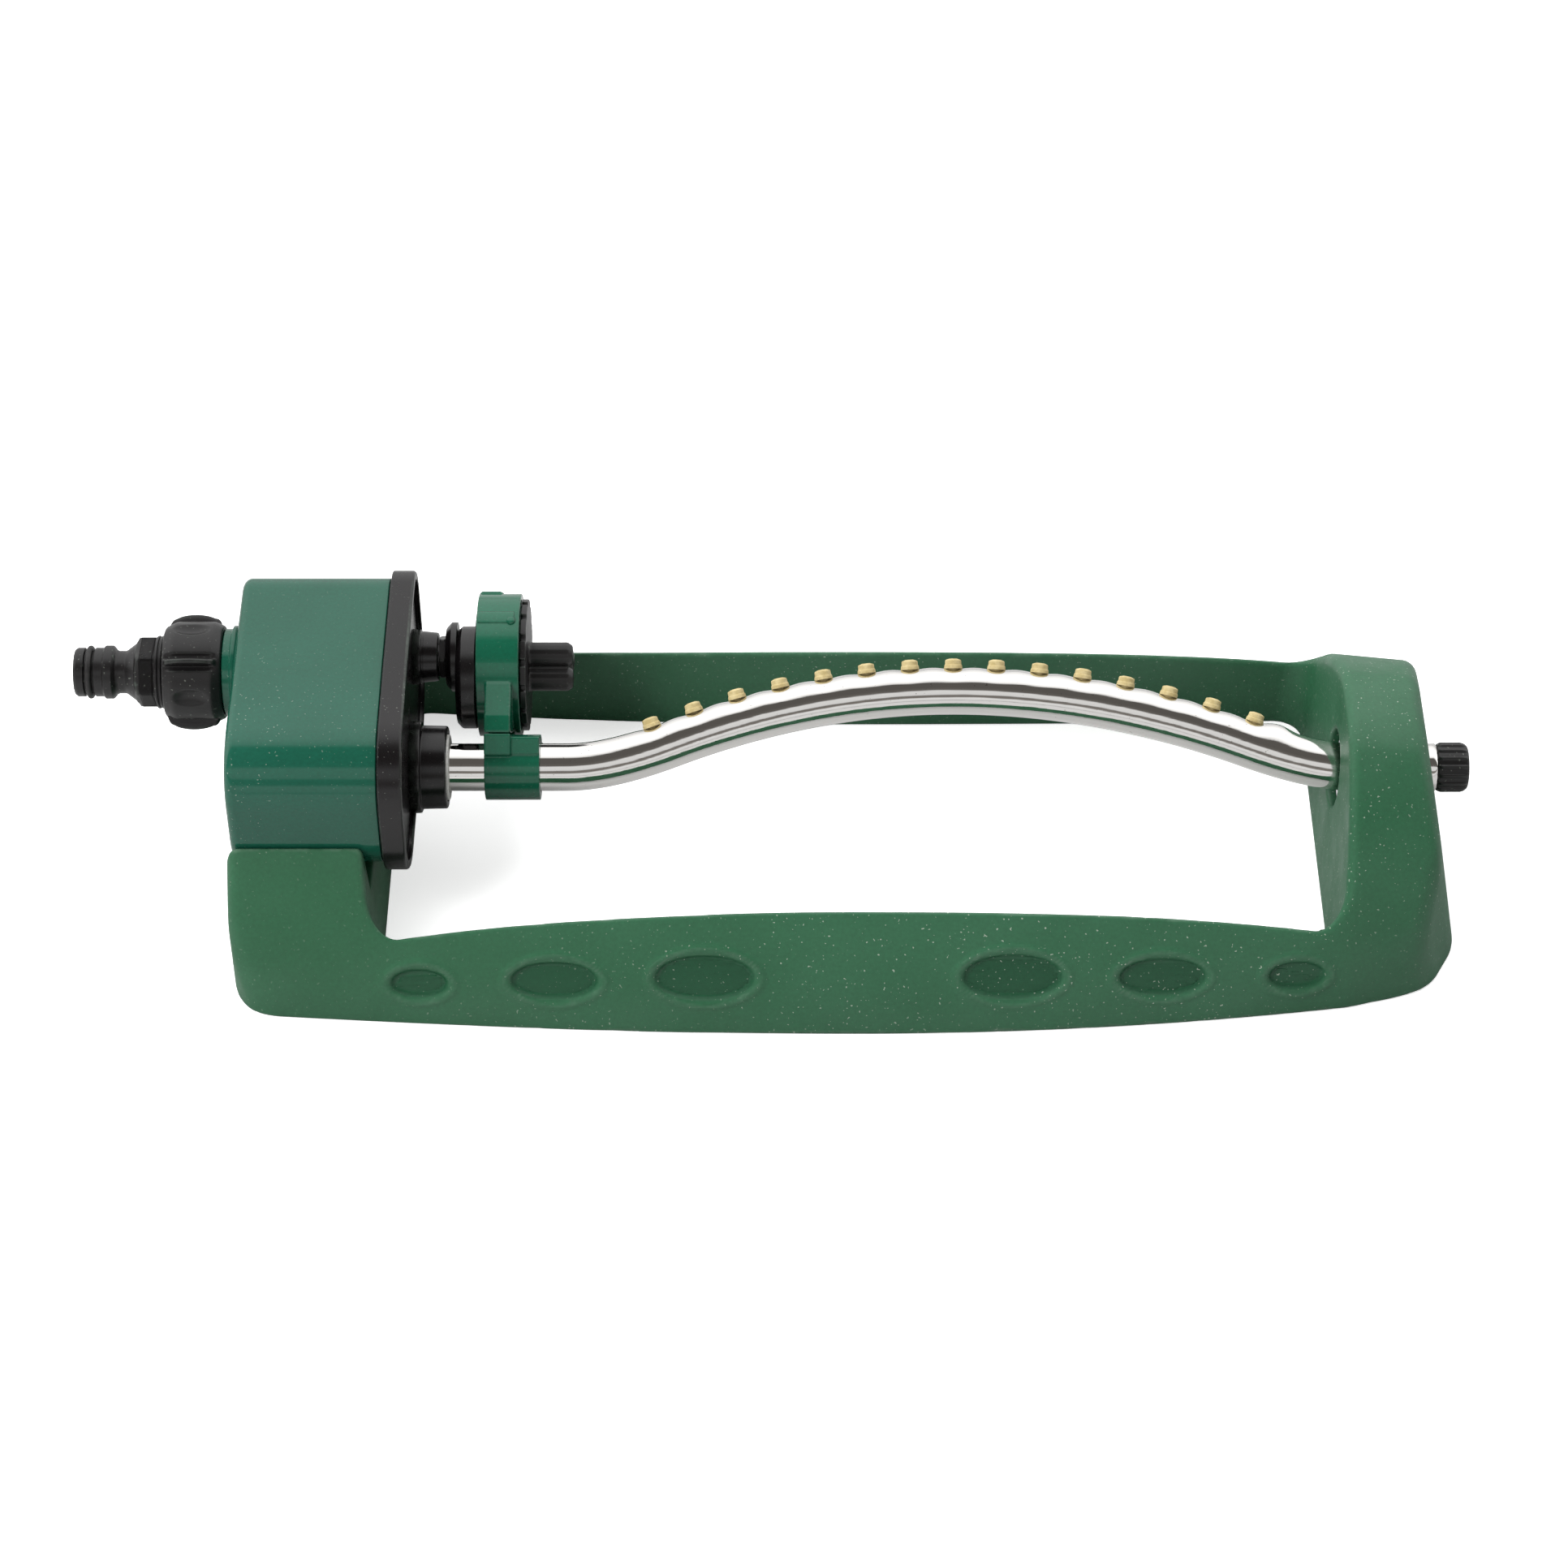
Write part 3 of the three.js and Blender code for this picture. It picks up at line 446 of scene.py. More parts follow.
def plastic(name, dark, light, rough, grain=0.00001, specks=0.0, edges=0.0, recess_shade_colour=None):
    """Moulded plastic: slow colour drift, fine grain, dust specks, convex edges painted paler as a painted
    highlight with rubbed wear, and painted shade in the recesses.
    """
    look = Finish(name)
    drift = look.between(look.noise(18, 3), 0.35, 0.65)
    colour = look.mix(drift, dark, light)
    # painted shade: the recess floors get a darker colour that stands in for the shade falling in the
    # recesses
    if recess_shade_colour:
        painted_recess_shade = look.tree.nodes.new("ShaderNodeAttribute")
        painted_recess_shade.attribute_name = "painted_recess_shade"
        colour = look.mix(painted_recess_shade.outputs["Fac"], colour, recess_shade_colour)
    mottle = look.between(look.noise(900, 2), 0.3, 0.7, 0.0, 0.14)
    colour = look.mix(mottle, colour, srgb(14, 24, 19))
    if edges:
        # painted highlight along convex edges, mixed with rubbed wear: pointiness makes the edges paler
        point = look.tree.nodes.new("ShaderNodeNewGeometry").outputs["Pointiness"]
        edge_highlight_and_wear = look.between(point, 0.52, 0.6, 0.0, edges)
        broken = look.math("MULTIPLY", edge_highlight_and_wear, look.between(look.noise(260, 3), 0.4, 0.6, 0.35, 1.0))
        colour = look.mix(broken, colour, srgb(150, 170, 155))
    if specks:
        dust = look.math("MULTIPLY", look.between(look.noise(1250, 0), 0.775, 0.81), specks)
        patches = look.between(look.noise(9, 2), 0.4, 0.62, 0.15, 1.0)
        colour = look.mix(look.math("MULTIPLY", dust, patches), colour, srgb(196, 204, 190))
    worn_rough = look.between(look.noise(42, 5, 0.6), 0.3, 0.7, rough * 0.8, rough * 1.25)
    look.bump(look.noise(2600, 2), grain)
    look.bump(look.noise(120, 2), grain * 1.5)
    return look.finish(colour, worn_rough)


def rubber(name, dark, light, rough=0.75, stain=srgb(60, 58, 55)):
    look = Finish(name)
    colour = look.mix(look.between(look.noise(500, 4), 0.35, 0.65), dark, light)
    dirt = look.between(look.noise(1500, 2), 0.62, 0.74, 0.0, 0.35)
    colour = look.mix(dirt, colour, stain)
    look.bump(look.noise(1800, 3), 0.000018)
    return look.finish(colour, look.between(look.noise(300), 0.3, 0.7, rough - 0.1, rough + 0.1))


def polished_tube():
    """Bright drawn tube: faint lines along its length, small pits and a few duller patches."""
    look = Finish("polished_tube")
    drawn = look.noise(1.0, 3, 0.6, look.stretched(14, 2600, 2600))
    pits = look.between(look.noise(900, 2), 0.7, 0.78)
    colour = look.mix(look.math("MULTIPLY", pits, 0.55), srgb(236, 234, 231), srgb(96, 84, 74))
    patches = look.between(look.noise(30, 4), 0.4, 0.7, 0.035, 0.09)
    rough = look.math("ADD", patches, look.math("MULTIPLY", look.between(drawn, 0.4, 0.7), 0.05))
    look.bump(look.noise(1.0, 2, 0.5, look.stretched(40, 260, 260)), 0.00006)
    look.bump(drawn, 0.000004)
    return look.finish(colour, rough, Metallic=1.0)


def brushed_steel():
    look = Finish("plain_steel")
    lines = look.noise(1.0, 3, 0.6, look.stretched(300, 3000, 3000))
    colour = look.mix(look.between(lines, 0.3, 0.7), srgb(150, 150, 152), srgb(190, 190, 190))
    look.bump(lines, 0.00001)
    return look.finish(colour, look.between(lines, 0.3, 0.7, 0.25, 0.42), Metallic=1.0)


BASE_GREEN = plastic(
    "base_green", srgb(40, 92, 62), srgb(48, 100, 70), 0.46, grain=0.000012, specks=0.5, edges=0.35,
    # painted shade for the recess floors
    recess_shade_colour=srgb(24, 78, 50),
)
HOUSING_GREEN = plastic(
    "housing_green", srgb(20, 80, 62), srgb(26, 87, 69), 0.1, specks=0.3, grain=0.0000025
)
CLIP_GREEN = plastic(
    "clip_green", srgb(14, 84, 61), srgb(20, 92, 68), 0.14, specks=0.25, edges=0.15, grain=0.000004
)
COVER_BLACK = plastic(
    "cover_black", srgb(12, 9, 11), srgb(18, 14, 16), 0.24, specks=0.3, edges=0.12
)
BLACK = plastic(
    "black_plastic", srgb(18, 16, 17), srgb(26, 24, 25), 0.34, specks=0.25, edges=0.15, grain=0.000012
)
WHITE = plastic("white_plastic", srgb(222, 220, 212), srgb(232, 230, 224), 0.45)
NOZZLE_RUBBER = rubber("nozzle_rubber", srgb(186, 167, 116), srgb(208, 191, 143), stain=srgb(128, 108, 70))
BLACK_RUBBER = rubber("black_rubber", srgb(24, 24, 24), srgb(38, 37, 37), 0.5)
PALE_RUBBER = rubber("pale_rubber", srgb(205, 205, 200), srgb(226, 226, 222), 0.4)
TUBE_METAL = polished_tube()
STEEL = brushed_steel()


# ------------------------------------------------------------------ base
# The outer surface is worked out as a distance from each of its faces, blended with rounded edges.
def skin_half_width(x, z):
    """Half width of the base's outer skin, for arrays of x and z."""
    drawn_in = np.maximum(0, x - TAPER_FROM) * TAPER
    arches = []
    for crest, power, root in (LEFT_SKIN, RIGHT_SKIN):
        rise = np.clip(z / (crest + SKIN_ABOVE_CREST - drawn_in), 0, 0.999)
        arches.append((ARCH_HALF_WIDTH - drawn_in) * (1 - rise**power) ** root)
    arch = arches[0] + (arches[1] - arches[0]) * toward_right(x)
    right = BOW * ((x - MIDDLE_X) / BOW_RIGHT_REACH) ** 2
    left = BOW_LEFT_LOSS * ((MIDDLE_X - x) / BOW_LEFT_REACH) ** 2
    bow = np.maximum(0, BOW - np.where(x > MIDDLE_X, right, left))
    return arch + bow * np.maximum(0, 1 - z / BOW_FADE)


def toward_right(x):
    """How far the skin has changed from the left curve to the right one at x, from 0 to 1."""
    return np.clip((x - SKIN_CHANGE_FROM) / SKIN_CHANGE_LENGTH, 0, 1)


def both(a, b, radius):
    """Inside both of two faces, with their shared edge rounded."""
    u = np.maximum(0, a + radius)
    v = np.maximum(0, b + radius)
    return np.minimum(np.maximum(a, b) + radius, 0) + np.hypot(u, v) - radius


def recess_relief(x, y, z):
    """How deep each point of a long face is pressed in, and how far inside a recess it is."""
    relief = np.zeros(len(x))
    painted_recess_shade = np.zeros(len(x))
    for offset, half, tall, up in RECESSES:
        for end in (-1, 1):
            middle = np.array([MIDDLE_X + end * offset])
            below = skin_half_width(middle, np.array([up - MM]))[0]
            above = skin_half_width(middle, np.array([up + MM]))[0]
            lean = math.atan2(below - above, 2 * MM)
            width = skin_half_width(middle, np.array([up]))[0]
            along = x - middle[0]
            climb = (z - up) * math.cos(lean) + (width - np.abs(y)) * math.sin(lean)
            reach = np.hypot(along / half, climb / tall)
            away = (reach - 1) * np.hypot(along, climb) / np.maximum(reach, 1e-6)
            inside = np.clip(-away / RECESS_EDGE, 0, 1)
            inside = inside * inside * (3 - 2 * inside)
            lip = np.exp(-(((away - LIP_OFFSET) / LIP_WIDTH) ** 2))
            relief += RECESS_DEPTH * inside - LIP_HEIGHT * lip
            # this mask carries the painted shade of the recess floors
            painted_recess_shade = np.maximum(painted_recess_shade, np.clip(-away / MM, 0, 1))
    return relief, painted_recess_shade


def base_distance(points):
    """Distance of each point outside the base's visible surface."""
    x, y, z = points.T
    side = np.abs(y)
    step = 0.2 * MM
    slope = (skin_half_width(x, z + step) - skin_half_width(x, z - step)) / (2 * step)
    skin = (side - skin_half_width(x, z)) / np.hypot(1, slope) + recess_relief(x, y, z)[0]
    tallest = LEFT_SKIN[0] + (RIGHT_SKIN[0] - LEFT_SKIN[0]) * toward_right(x)
    crest = z - tallest + np.maximum(0, x - TAPER_FROM) * TAPER
    body = both(skin, crest, 3 * MM)

    # two chamfers cut each right corner: 10 mm of the width, then 17.5 mm over the last 9.5 mm
    right_x = RIGHT - z * DRAFT
    pull = RIGHT - right_x
    corner_x = CORNER_X - 0.6 * pull
    run = np.stack([right_x - 9.5 * MM - corner_x, np.full(len(x), -10 * MM)])
    length = np.hypot(*run)
    near = ((x - corner_x) * -run[1] + (side - CORNER_HALF_WIDTH) * run[0]) / length
    far = ((x - right_x) * 17.5 + (side - RIGHT_FACE_HALF_WIDTH) * 9.5) / math.hypot(17.5, 9.5)
    face = (x - right_x) * math.cos(math.atan(DRAFT))
    ends = both(both(near, far, 3 * MM), face, 2.5 * MM)
    left = both(LEFT - x, side - LEFT_HALF_WIDTH - (x - LEFT) * LEFT_SPREAD, 17 * MM)
    body = both(body, both(ends, left, MM), 4 * MM)

    flare = np.where(x > MIDDLE_X, OPENING_FLARE_RIGHT, OPENING_FLARE_LEFT)
    wall = OPENING_HALF_WIDTH + flare * ((x - MIDDLE_X) / OPENING_HALF_LENGTH) ** 2
    left_wall = OPENING_LEFT - z * OPENING_LEFT_SLOPE - x
    right_wall = x - OPENING_RIGHT - z * OPENING_RIGHT_SLOPE
    gap = both(side - wall, np.maximum(left_wall, right_wall), 10 * MM)
    # the opening's rim is rounder toward the arch
    edge = (1.8 + 1.7 * np.clip((x / MM - 120) / 70, 0, 1)) * MM
    body = both(body, -gap, edge)
    cradle = both(both(side - CRADLE_HALF_WIDTH, CRADLE_FLOOR - z, MM), x - CRADLE_RIGHT, MM)
    body = both(body, -cradle, 1.6 * MM)
    from_tube = np.hypot(y - TUBE_AXIS[0], z - TUBE_AXIS[1])
    inner_hole = both(from_tube - HOLE_INNER_RADIUS, x - HOLE_STEP_X, 0.1 * MM)
    body = both(body, np.where(x > 150 * MM, -inner_hole, -1), MM)
    body = both(body, np.where(x > HOLE_STEP_X, HOLE_RADIUS - from_tube, -1), 0.6 * MM)
    return both(body, -z, 0.8 * MM)


def settled(points, reach, rounds=4):
    """Points within reach of the visible surface, moved onto it."""
    close = np.abs(base_distance(points)) < reach
    moving = points[close]
    step = 0.05 * MM
    for _ in range(rounds):
        here = base_distance(moving)
        rises = [
            base_distance(moving + step * axis) - base_distance(moving - step * axis)
            for axis in np.eye(3)
        ]
        slope = np.stack(rises, axis=1) / (2 * step)
        size = np.maximum((slope**2).sum(axis=1), 0.25)
        moving = moving - np.clip(here / size, -MM, MM)[:, None] * slope
    points[close] = moving
    return points


def base():
    piece = moulded("base_shell", "base_frame", 1.05 * MM, rounds=0)
    set_positions(piece, settled(positions(piece), 2.6 * MM))
    relaxed(piece, 3, 0.5, 0.45)
    points = settled(positions(piece), 1.2 * MM, 2)
    set_positions(piece, points)
    x, y, z = points.T
    outer = np.abs(np.abs(y) - skin_half_width(x, z)) < 4 * MM
    # the recess mask on the outer skin, used for the painted shade in the recesses
    recess_shade_layer = piece.data.attributes.new("painted_recess_shade", "FLOAT", "POINT")
    recess_shade_layer.data.foreach_set("value", recess_relief(x, y, z)[1] * outer)
    return place(piece, "base", "base_plastic", BASE_GREEN, "base_frame")


def arch_bush():
    origin = (0, *TUBE_AXIS)
    profile = [
        (8.3, 196, 0.3), (12.2, 196, 0.6), (12.2, 197.9, 0.4), (9.9, 198.2, 0.2), (9.9, 219.2, 0.5),
        (8.3, 219.2, 0.4),
    ]
    made = turned("arch_bush", profile, origin)
    return place(made, "base", "black_plastic", BLACK, "arch_bearing")


# ------------------------------------------------------------------ gearbox
def housing_outline(grow, steps=14):
    """The gearbox's end outline in (y, z), millimetres."""
    half = 48 + grow
    wide, tight = max(0.8, 20 + grow), max(0.5, 12 + grow)
    corners = [
        (-half, 32 - grow, wide),
        (half, 32 - grow, wide),
        (half, 89.3 + grow, tight),
        (0, 88.4 + grow, 0),
        (-half, 85.8 + grow, wide),
    ]
    return rounded(corners, steps)


def extruded(name, stations):
    """Closed (x, outline) rings in millimetres, joined side to side, with a fan over each end."""
    points, faces = [], []
    count = len(stations[0][1])
    for x, outline in stations:
        points += [Vector((x * MM, a * MM, b * MM)) for a, b in outline]
    for ring in range(len(stations) - 1):
        for i in range(count):
            j = (i + 1) % count
            here, following = ring * count, (ring + 1) * count
            faces.append((here + i, here + j, following + j, following + i))
    for ring in (0, len(stations) - 1):
        points.append(sum((points[ring * count + i] for i in range(count)), Vector()) / count)
        middle = len(points) - 1
        faces += [(middle, ring * count + i, ring * count + (i + 1) % count) for i in range(count)]
    made = new_object(name, points, faces)
    tidy(made)
    return made


def quarter(start_x, start_grow, toward_x, toward_grow, outward_first, steps=5):
    """(x, grow) pairs round a quarter circle between two faces."""
    pairs = []
    for step in range(steps + 1):
        turn = math.pi / 2 * step / steps
        a, b = math.sin(turn), 1 - math.cos(turn)
        if not outward_first:
            a, b = b, a
        pairs.append((start_x + (toward_x - start_x) * b, start_grow + (toward_grow - start_grow) * a))
    return pairs


def gearbox_housing():
    left, right, wall = -178.2, -128.6, 2.6
    edge = 3.2
    path = [(left, -14)]
    path += quarter(left, -edge, left + edge, 0, True)
    path += [(left + 20, 0), (left + 35, 0)]
    path += quarter(right - 0.5, 0, right, -0.5, False)
    path += [(right, -wall + 0.3), (right - 0.3, -wall), (-150, -wall)]
    path += [(left + wall, -wall), (left + wall, -14)]
    cup = extruded("cup", [(x, housing_outline(grow)) for x, grow in path])
    spigot = turned(
        "spigot",
        [
            (9.2, -198.6, 0.4), (12.9, -198.6, 0.6), (12.9, -183.4, 0.1), (14.5, -183.2, 0.5),
            (14.5, -180.6, 0.4), (15.6, -180.3, 0.4), (15.6, -177, 0), (9.2, -177, 0),
        ],
        (0, *INLET_AXIS),
    )
    made = joined("gearbox_cup", [cup, spigot])
    return place(made, "base", "housing_plastic", HOUSING_GREEN, "gearbox_housing")


def gearbox_cover():
    left, rim, face, proud, thick = -128, -120.2, -121.8, 2.6, 3
    path = [(left, -20)]
    path += quarter(left, proud - 0.5, left + 0.5, proud, True)
    path += [(left + 3, proud)]
    path += quarter(rim - 1.1, proud, rim, proud - 1.1, False)
    path += quarter(rim, proud - thick + 0.4, rim - 0.4, proud - thick, True, 3)
    path += [(face + 0.3, proud - thick), (face, proud - thick - 0.3), (face, -20)]
    plate = extruded("plate", [(x, housing_outline(grow)) for x, grow in path])
    tube_boss = turned(
        "tube_boss",
        [
            (8.4, face - 0.2, 0), (15.6, face - 0.2, 0), (15.4, -118.4, 0.5), (14.1, -118, 0.4),
            (13.9, -109.6, 0.7), (11.6, -109.6, 0.3), (11.4, -111.9, 0), (8.4, -111.9, 0),
        ],
        (0, *TUBE_AXIS),
    )
    shaft_boss = turned(
        "shaft_boss",
        [
            (4.3, face - 0.2, 0), (9.5, face - 0.2, 0), (9.2, -119.2, 0.3), (8.7, -119, 0.2),
            (8.7, -118.2, 0.2), (8.2, -113.3, 0.8), (4.3, -113.3, 0.5),
        ],
        (0, *SHAFT_AXIS),
    )
    made = joined("gearbox_lid", [plate, tube_boss, shaft_boss])
    return place(made, "base", "cover_plastic", COVER_BLACK, "gearbox_cover")


def tube_seal():
    profile = [(8.35, -111.5, 0.2), (11.1, -111.5, 0.2), (11.1, -108.9, 0.6), (8.35, -108.9, 0.6)]
    made = turned("outlet_seal", profile, (0, *TUBE_AXIS))
    return place(made, "base", "tube_seal", PALE_RUBBER, "tube_seal")


# ------------------------------------------------------------------ hose end
def hexed(radius, along, angle):
    """Six flats on the stretch next to the nut."""
    if not -212.9 < along < -206.2:
        return radius
    flat = 10.4 / math.cos((angle + math.radians(40)) % math.radians(60) - math.radians(30))
    return min(11.7, flat) if along > -211.6 else min(11.7, flat, radius + (along + 212.9) * 1.6)


def hose_tail():
    nose = [
        (5, -233.5, 0.3), (7.6, -233.5, 0.3), (8.2, -232.6, 0.5), (8.2, -230.2, 0.2), (7.1, -230, 0.1),
        (7.1, -226.9, 0.1), (8.2, -226.7, 0.2), (8.2, -224, 0.3),
    ]
    neck = [
        (8.95, -223.3, 0.4), (8.95, -220.8, 0.4), (8.1, -220, 0.3), (7.5, -219.6, 0.3),
        (7.15, -218.8, 0.4), (7.15, -216.4, 1.6), (9.7, -213, 0.6), (9.9, -212.7, 0.1),
    ]
    flanges = [
        (9.9, -206.4, 0.1), (11.2, -206.2, 0.1), (12.2, -205.8, 0.25), (12.2, -205.1, 0.2),
        (11.6, -204.9, 0.1), (11.6, -204.6, 0.1), (12.2, -204.4, 0.2), (12.2, -203.7, 0.25),
        (10.9, -203.4, 0.1), (10.9, -200.8, 0.1), (12.8, -200.6, 0.2), (12.8, -199.9, 0.2), (5, -199.9, 0.2),
    ]
    profile = nose + neck + flanges
    made = turned("hose_connector", profile, (0, *INLET_AXIS), segments=144, longest=0.8, shape=hexed)
    return place(made, "base", "black_plastic", BLACK, "hose_tail")


def ring_seal(name, x, radius, thickness, axis, body, node):
    """A round-section ring about the X axis; sizes in millimetres."""
    circle_steps = 16
    profile = [
        (radius + thickness * math.cos(2 * math.pi * k / circle_steps),
         x + thickness * math.sin(2 * math.pi * k / circle_steps), 0)
        for k in range(circle_steps)
    ]
    return place(turned(name, profile, (0, *axis), segments=72), body, "seal_rubber", BLACK_RUBBER, node)


def nut_grip(radius, along, angle):
    """Four curved fins in shallow slots, with an oval thumb dimple between each two."""
    if radius < 13.6:
        return radius
    middle, reach = -193.6, 8.6
    share = (along - middle) / reach
    if abs(share) >= 1:
        return radius
    quarter_turn = math.pi / 2
    fin = (angle - math.radians(10) + quarter_turn / 2) % quarter_turn - quarter_turn / 2
    dimple = (angle - math.radians(57) + quarter_turn / 2) % quarter_turn - quarter_turn / 2
    across = fin * radius
    taper = math.sqrt(1 - share**2)
    slot = 1.1 * max(0, 1 - abs(across / 3.1) ** 4) * min(1, 4 * (1 - abs(share)))
    ridge = (19.6 - radius + 1.1) * taper * max(0, 1 - abs(across / 1.25) ** 3) if abs(across) < 1.25 else 0
    oval = 1 - (share * reach / 6.2) ** 2 - (dimple * radius / 3.4) ** 2
    return radius - slot + ridge - 1.6 * max(0, oval)


def swivel_nut():
    profile = [
        (13.3, -183.4, 0.4), (15.4, -183.4, 0.9), (16.9, -186.6, 3), (16.9, -199.4, 4), (14.9, -203.1, 1.2),
        (11.5, -203.1, 0.3), (11.5, -201.1, 0.2), (13.3, -201.1, 0.1),
    ]
    made = turned("hose_nut", profile, (0, *INLET_AXIS), segments=320, longest=0.5, shape=nut_grip)
    return place(made, "nut", "black_plastic", BLACK, "swivel_nut")


# ------------------------------------------------------------------ spray tube
def arch_height(x):
    radius = ARCH_LEFT_RADIUS if x < ARCH_PEAK_X else ARCH_RIGHT_RADIUS
    bow = ARCH_RISE - (x - ARCH_PEAK_X) ** 2 / (2 * radius)
    return bow if bow > ARCH_BLEND else max(0, bow + ARCH_BLEND) ** 2 / (4 * ARCH_BLEND)


def arch_frame(x):
    """The tube's middle and its outward direction, in the plane of the arch."""
    slope = math.atan2(arch_height(x + 0.5 * MM) - arch_height(x - 0.5 * MM), MM)
    middle = Vector((x, *TUBE_AXIS)) + UP * arch_height(x)
    return middle, UP * math.cos(slope) - ALONG * math.sin(slope)


NOZZLE_XS = [NOZZLE_FIRST_X + (NOZZLE_LAST_X - NOZZLE_FIRST_X) * i / (NOZZLES - 1) for i in range(NOZZLES)]


def tube_swell(x, angle):
    """The drilled side is pressed a little flat at each nozzle, with one blank bump beyond the last."""
    top = max(0, math.cos(angle)) ** 3
    seats = sum(math.exp(-(((x - at) / (4.2 * MM)) ** 2)) for at in NOZZLE_XS)
    bump = math.exp(-(((x - 167.5 * MM) / (5.5 * MM)) ** 2))
    return (-0.75 * seats + 1.5 * bump) * MM * top


def spray_tube():
    left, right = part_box("spray_tube")[0].x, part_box("spray_tube")[1].x
    sides, step = 64, 1.4 * MM
    count = math.ceil((right - left) / step)
    stations = [left + (right - left) * i / count for i in range(count + 1)]
    rings = [(x, TUBE_RADIUS, True) for x in stations]
    rings += [(x, TUBE_BORE, False) for x in reversed(stations)]
    points, faces = [], []
    for x, radius, outside in rings:
        middle, outward = arch_frame(x)
        for k in range(sides):
            angle = 2 * math.pi * k / sides
            reach = radius + (tube_swell(x, angle) if outside else 0)
            points.append(middle + (outward * math.cos(angle) + FRONT * math.sin(angle)) * reach)
    for ring in range(len(rings)):
        following = (ring + 1) % len(rings)
        for k in range(sides):
            j = (k + 1) % sides
            faces.append((ring * sides + k, ring * sides + j, following * sides + j, following * sides + k))
    made = new_object("bright_tube", points, faces)
    tidy(made)
    return place(made, "tube", "tube_metal", TUBE_METAL, "spray_tube")


def nozzle(number, x):
    middle, outward = arch_frame(x)
    profile = [
        (0.7, 5.6, 0), (1.7, 5.6, 0.2), (1.7, 7.4, 0), (3.1, 7.5, 0.2), (3.0, 8.6, 0.3), (2.75, 9.0, 0.1),
        (2.7, 10.4, 0.45), (1.3, 10.9, 0.15), (0.7, 10.5, 0.1),
    ]
    made = turned(f"spray_nozzle_{number:02d}", profile, middle, outward, segments=36)
    return place(made, "tube", "nozzle_rubber", NOZZLE_RUBBER, f"nozzle_{number:02d}")


def plug_ribs(radius, along, angle):
    """Grip ribs round the head, softened toward its ends."""
    if along < 223 or radius < 7:
        return radius
    wave = max(0, math.cos(16 * angle)) ** 0.6
    ends = max(0, min(1, (along - 223.1) / 1.2, (233.2 - along) / 1.8))
    return radius + 0.65 * wave * ends


def end_plug():
    profile = [
        (0, 208, 0), (6.4, 208, 0.6), (6.4, 215.9, 0.1), (5.2, 216.1, 0.1), (5.2, 218.5, 0.1),
        (6.4, 218.7, 0.1), (6.4, 222.9, 0), (7.7, 222.9, 0.5), (7.7, 233.5, 1.1), (5.2, 233.5, 0.3),
        (4.9, 230.6, 0.3), (0, 230.6, 0),
    ]
    made = turned("tube_plug", profile, (0, *TUBE_AXIS), segments=256, longest=0.6, shape=plug_ribs)
    return place(made, "plug", "black_plastic", BLACK, "end_plug")


# ------------------------------------------------------------------ crank, strap, dial and clamp
# the crank disc's web sits off the shaft's axis
WEB_CENTRE = (SHAFT_AXIS[0] - 3.465 * MM, SHAFT_AXIS[1] - 6.293 * MM)


def strap():
    curves = [
        (-100.5 * MM, -85 * MM, circle(STRAP_AXIS, 24.25 * MM)),
        (-100.5 * MM, -85 * MM, circle(STRAP_AXIS, 19.4 * MM)),
    ]
    piece = moulded("link_band", "link_strap", 0.5 * MM, curves, 3)
    return place(piece, "link", "clip_plastic", CLIP_GREEN, "link_strap")


def strap_latch():
    """The raised bar and round stud where the strap's band is closed."""
    def on_band(angle, radius, x):
        direction = FRONT * math.cos(angle) + UP * math.sin(angle)
        return Vector((x * MM, *STRAP_AXIS)) + direction * radius * MM

    start, end = math.radians(34), math.radians(46)
    steps = 10
    outline_x = rounded([(-99.7, 0, 0.5), (-87.5, 0, 0.5), (-87.5, 1, 0.4), (-99.7, 1, 0.4)], 3)
    points, faces = [], []
    for step in range(steps + 1):
        angle = start + (end - start) * step / steps
        crown = 0.75 * math.sin(math.pi * (0.12 + 0.76 * step / steps)) ** 0.5
        for x, height in outline_x:
            points.append(on_band(angle, 24.0 + height * crown, x))
    count = len(outline_x)
    for ring in range(steps):
        for i in range(count):
            j = (i + 1) % count
            here, following = ring * count, (ring + 1) * count
            faces.append((here + i, here + j, following + j, following + i))
    faces += [tuple(range(count)), tuple(range(steps * count, (steps + 1) * count))]
    bar = new_object("bar", points, faces)
    at = math.radians(36)
    outward = FRONT * math.cos(at) + UP * math.sin(at)
    dome = [(0, 0, 0), (1.5, 0, 0), (1.5, 1.3, 0.9), (0, 1.5, 0)]
    stud = turned("stud", dome, on_band(at, 23.9, -88.5), outward, 32)
    return place(joined("link_latch", [bar, stud]), "link", "clip_plastic", CLIP_GREEN)


def clamp():
    curves = [
        (-98 * MM, -78 * MM, circle(TUBE_AXIS, 11 * MM)),
        (-98 * MM, -78 * MM, circle(TUBE_AXIS, 8.3 * MM)),
    ]
    piece = moulded("tube_collar", "tube_clamp", 0.42 * MM, curves, 3)
    return place(piece, "tube", "clip_plastic", CLIP_GREEN, "tube_clamp")


def crank_disc():
    dish = turned(
        "dish",
        [
            (4.3, -110.7, 0.2), (9.8, -110.7, 0.4), (11.8, -108.9, 0.5), (11.8, -106.9, 0.2),
            (4.3, -106.9, 0),
        ],
        (0, *SHAFT_AXIS),
    )
    web = turned(
        "web",
        [(0, -107.1, 0), (15.6, -107.1, 0.6), (17.4, -105.4, 1.2), (17.4, -100.5, 0.3), (0, -100.5, 0)],
        (0, *WEB_CENTRE),
    )
    sheave = turned(
        "sheave", [(0, -100.8, 0), (19, -100.8, 0.2), (19, -85.8, 0.3), (0, -85.8, 0)], (0, *STRAP_AXIS)
    )
    made = joined("crank_plate", [dish, web, sheave])
    return place(made, "crank", "black_plastic", COVER_BLACK, "crank_disc")


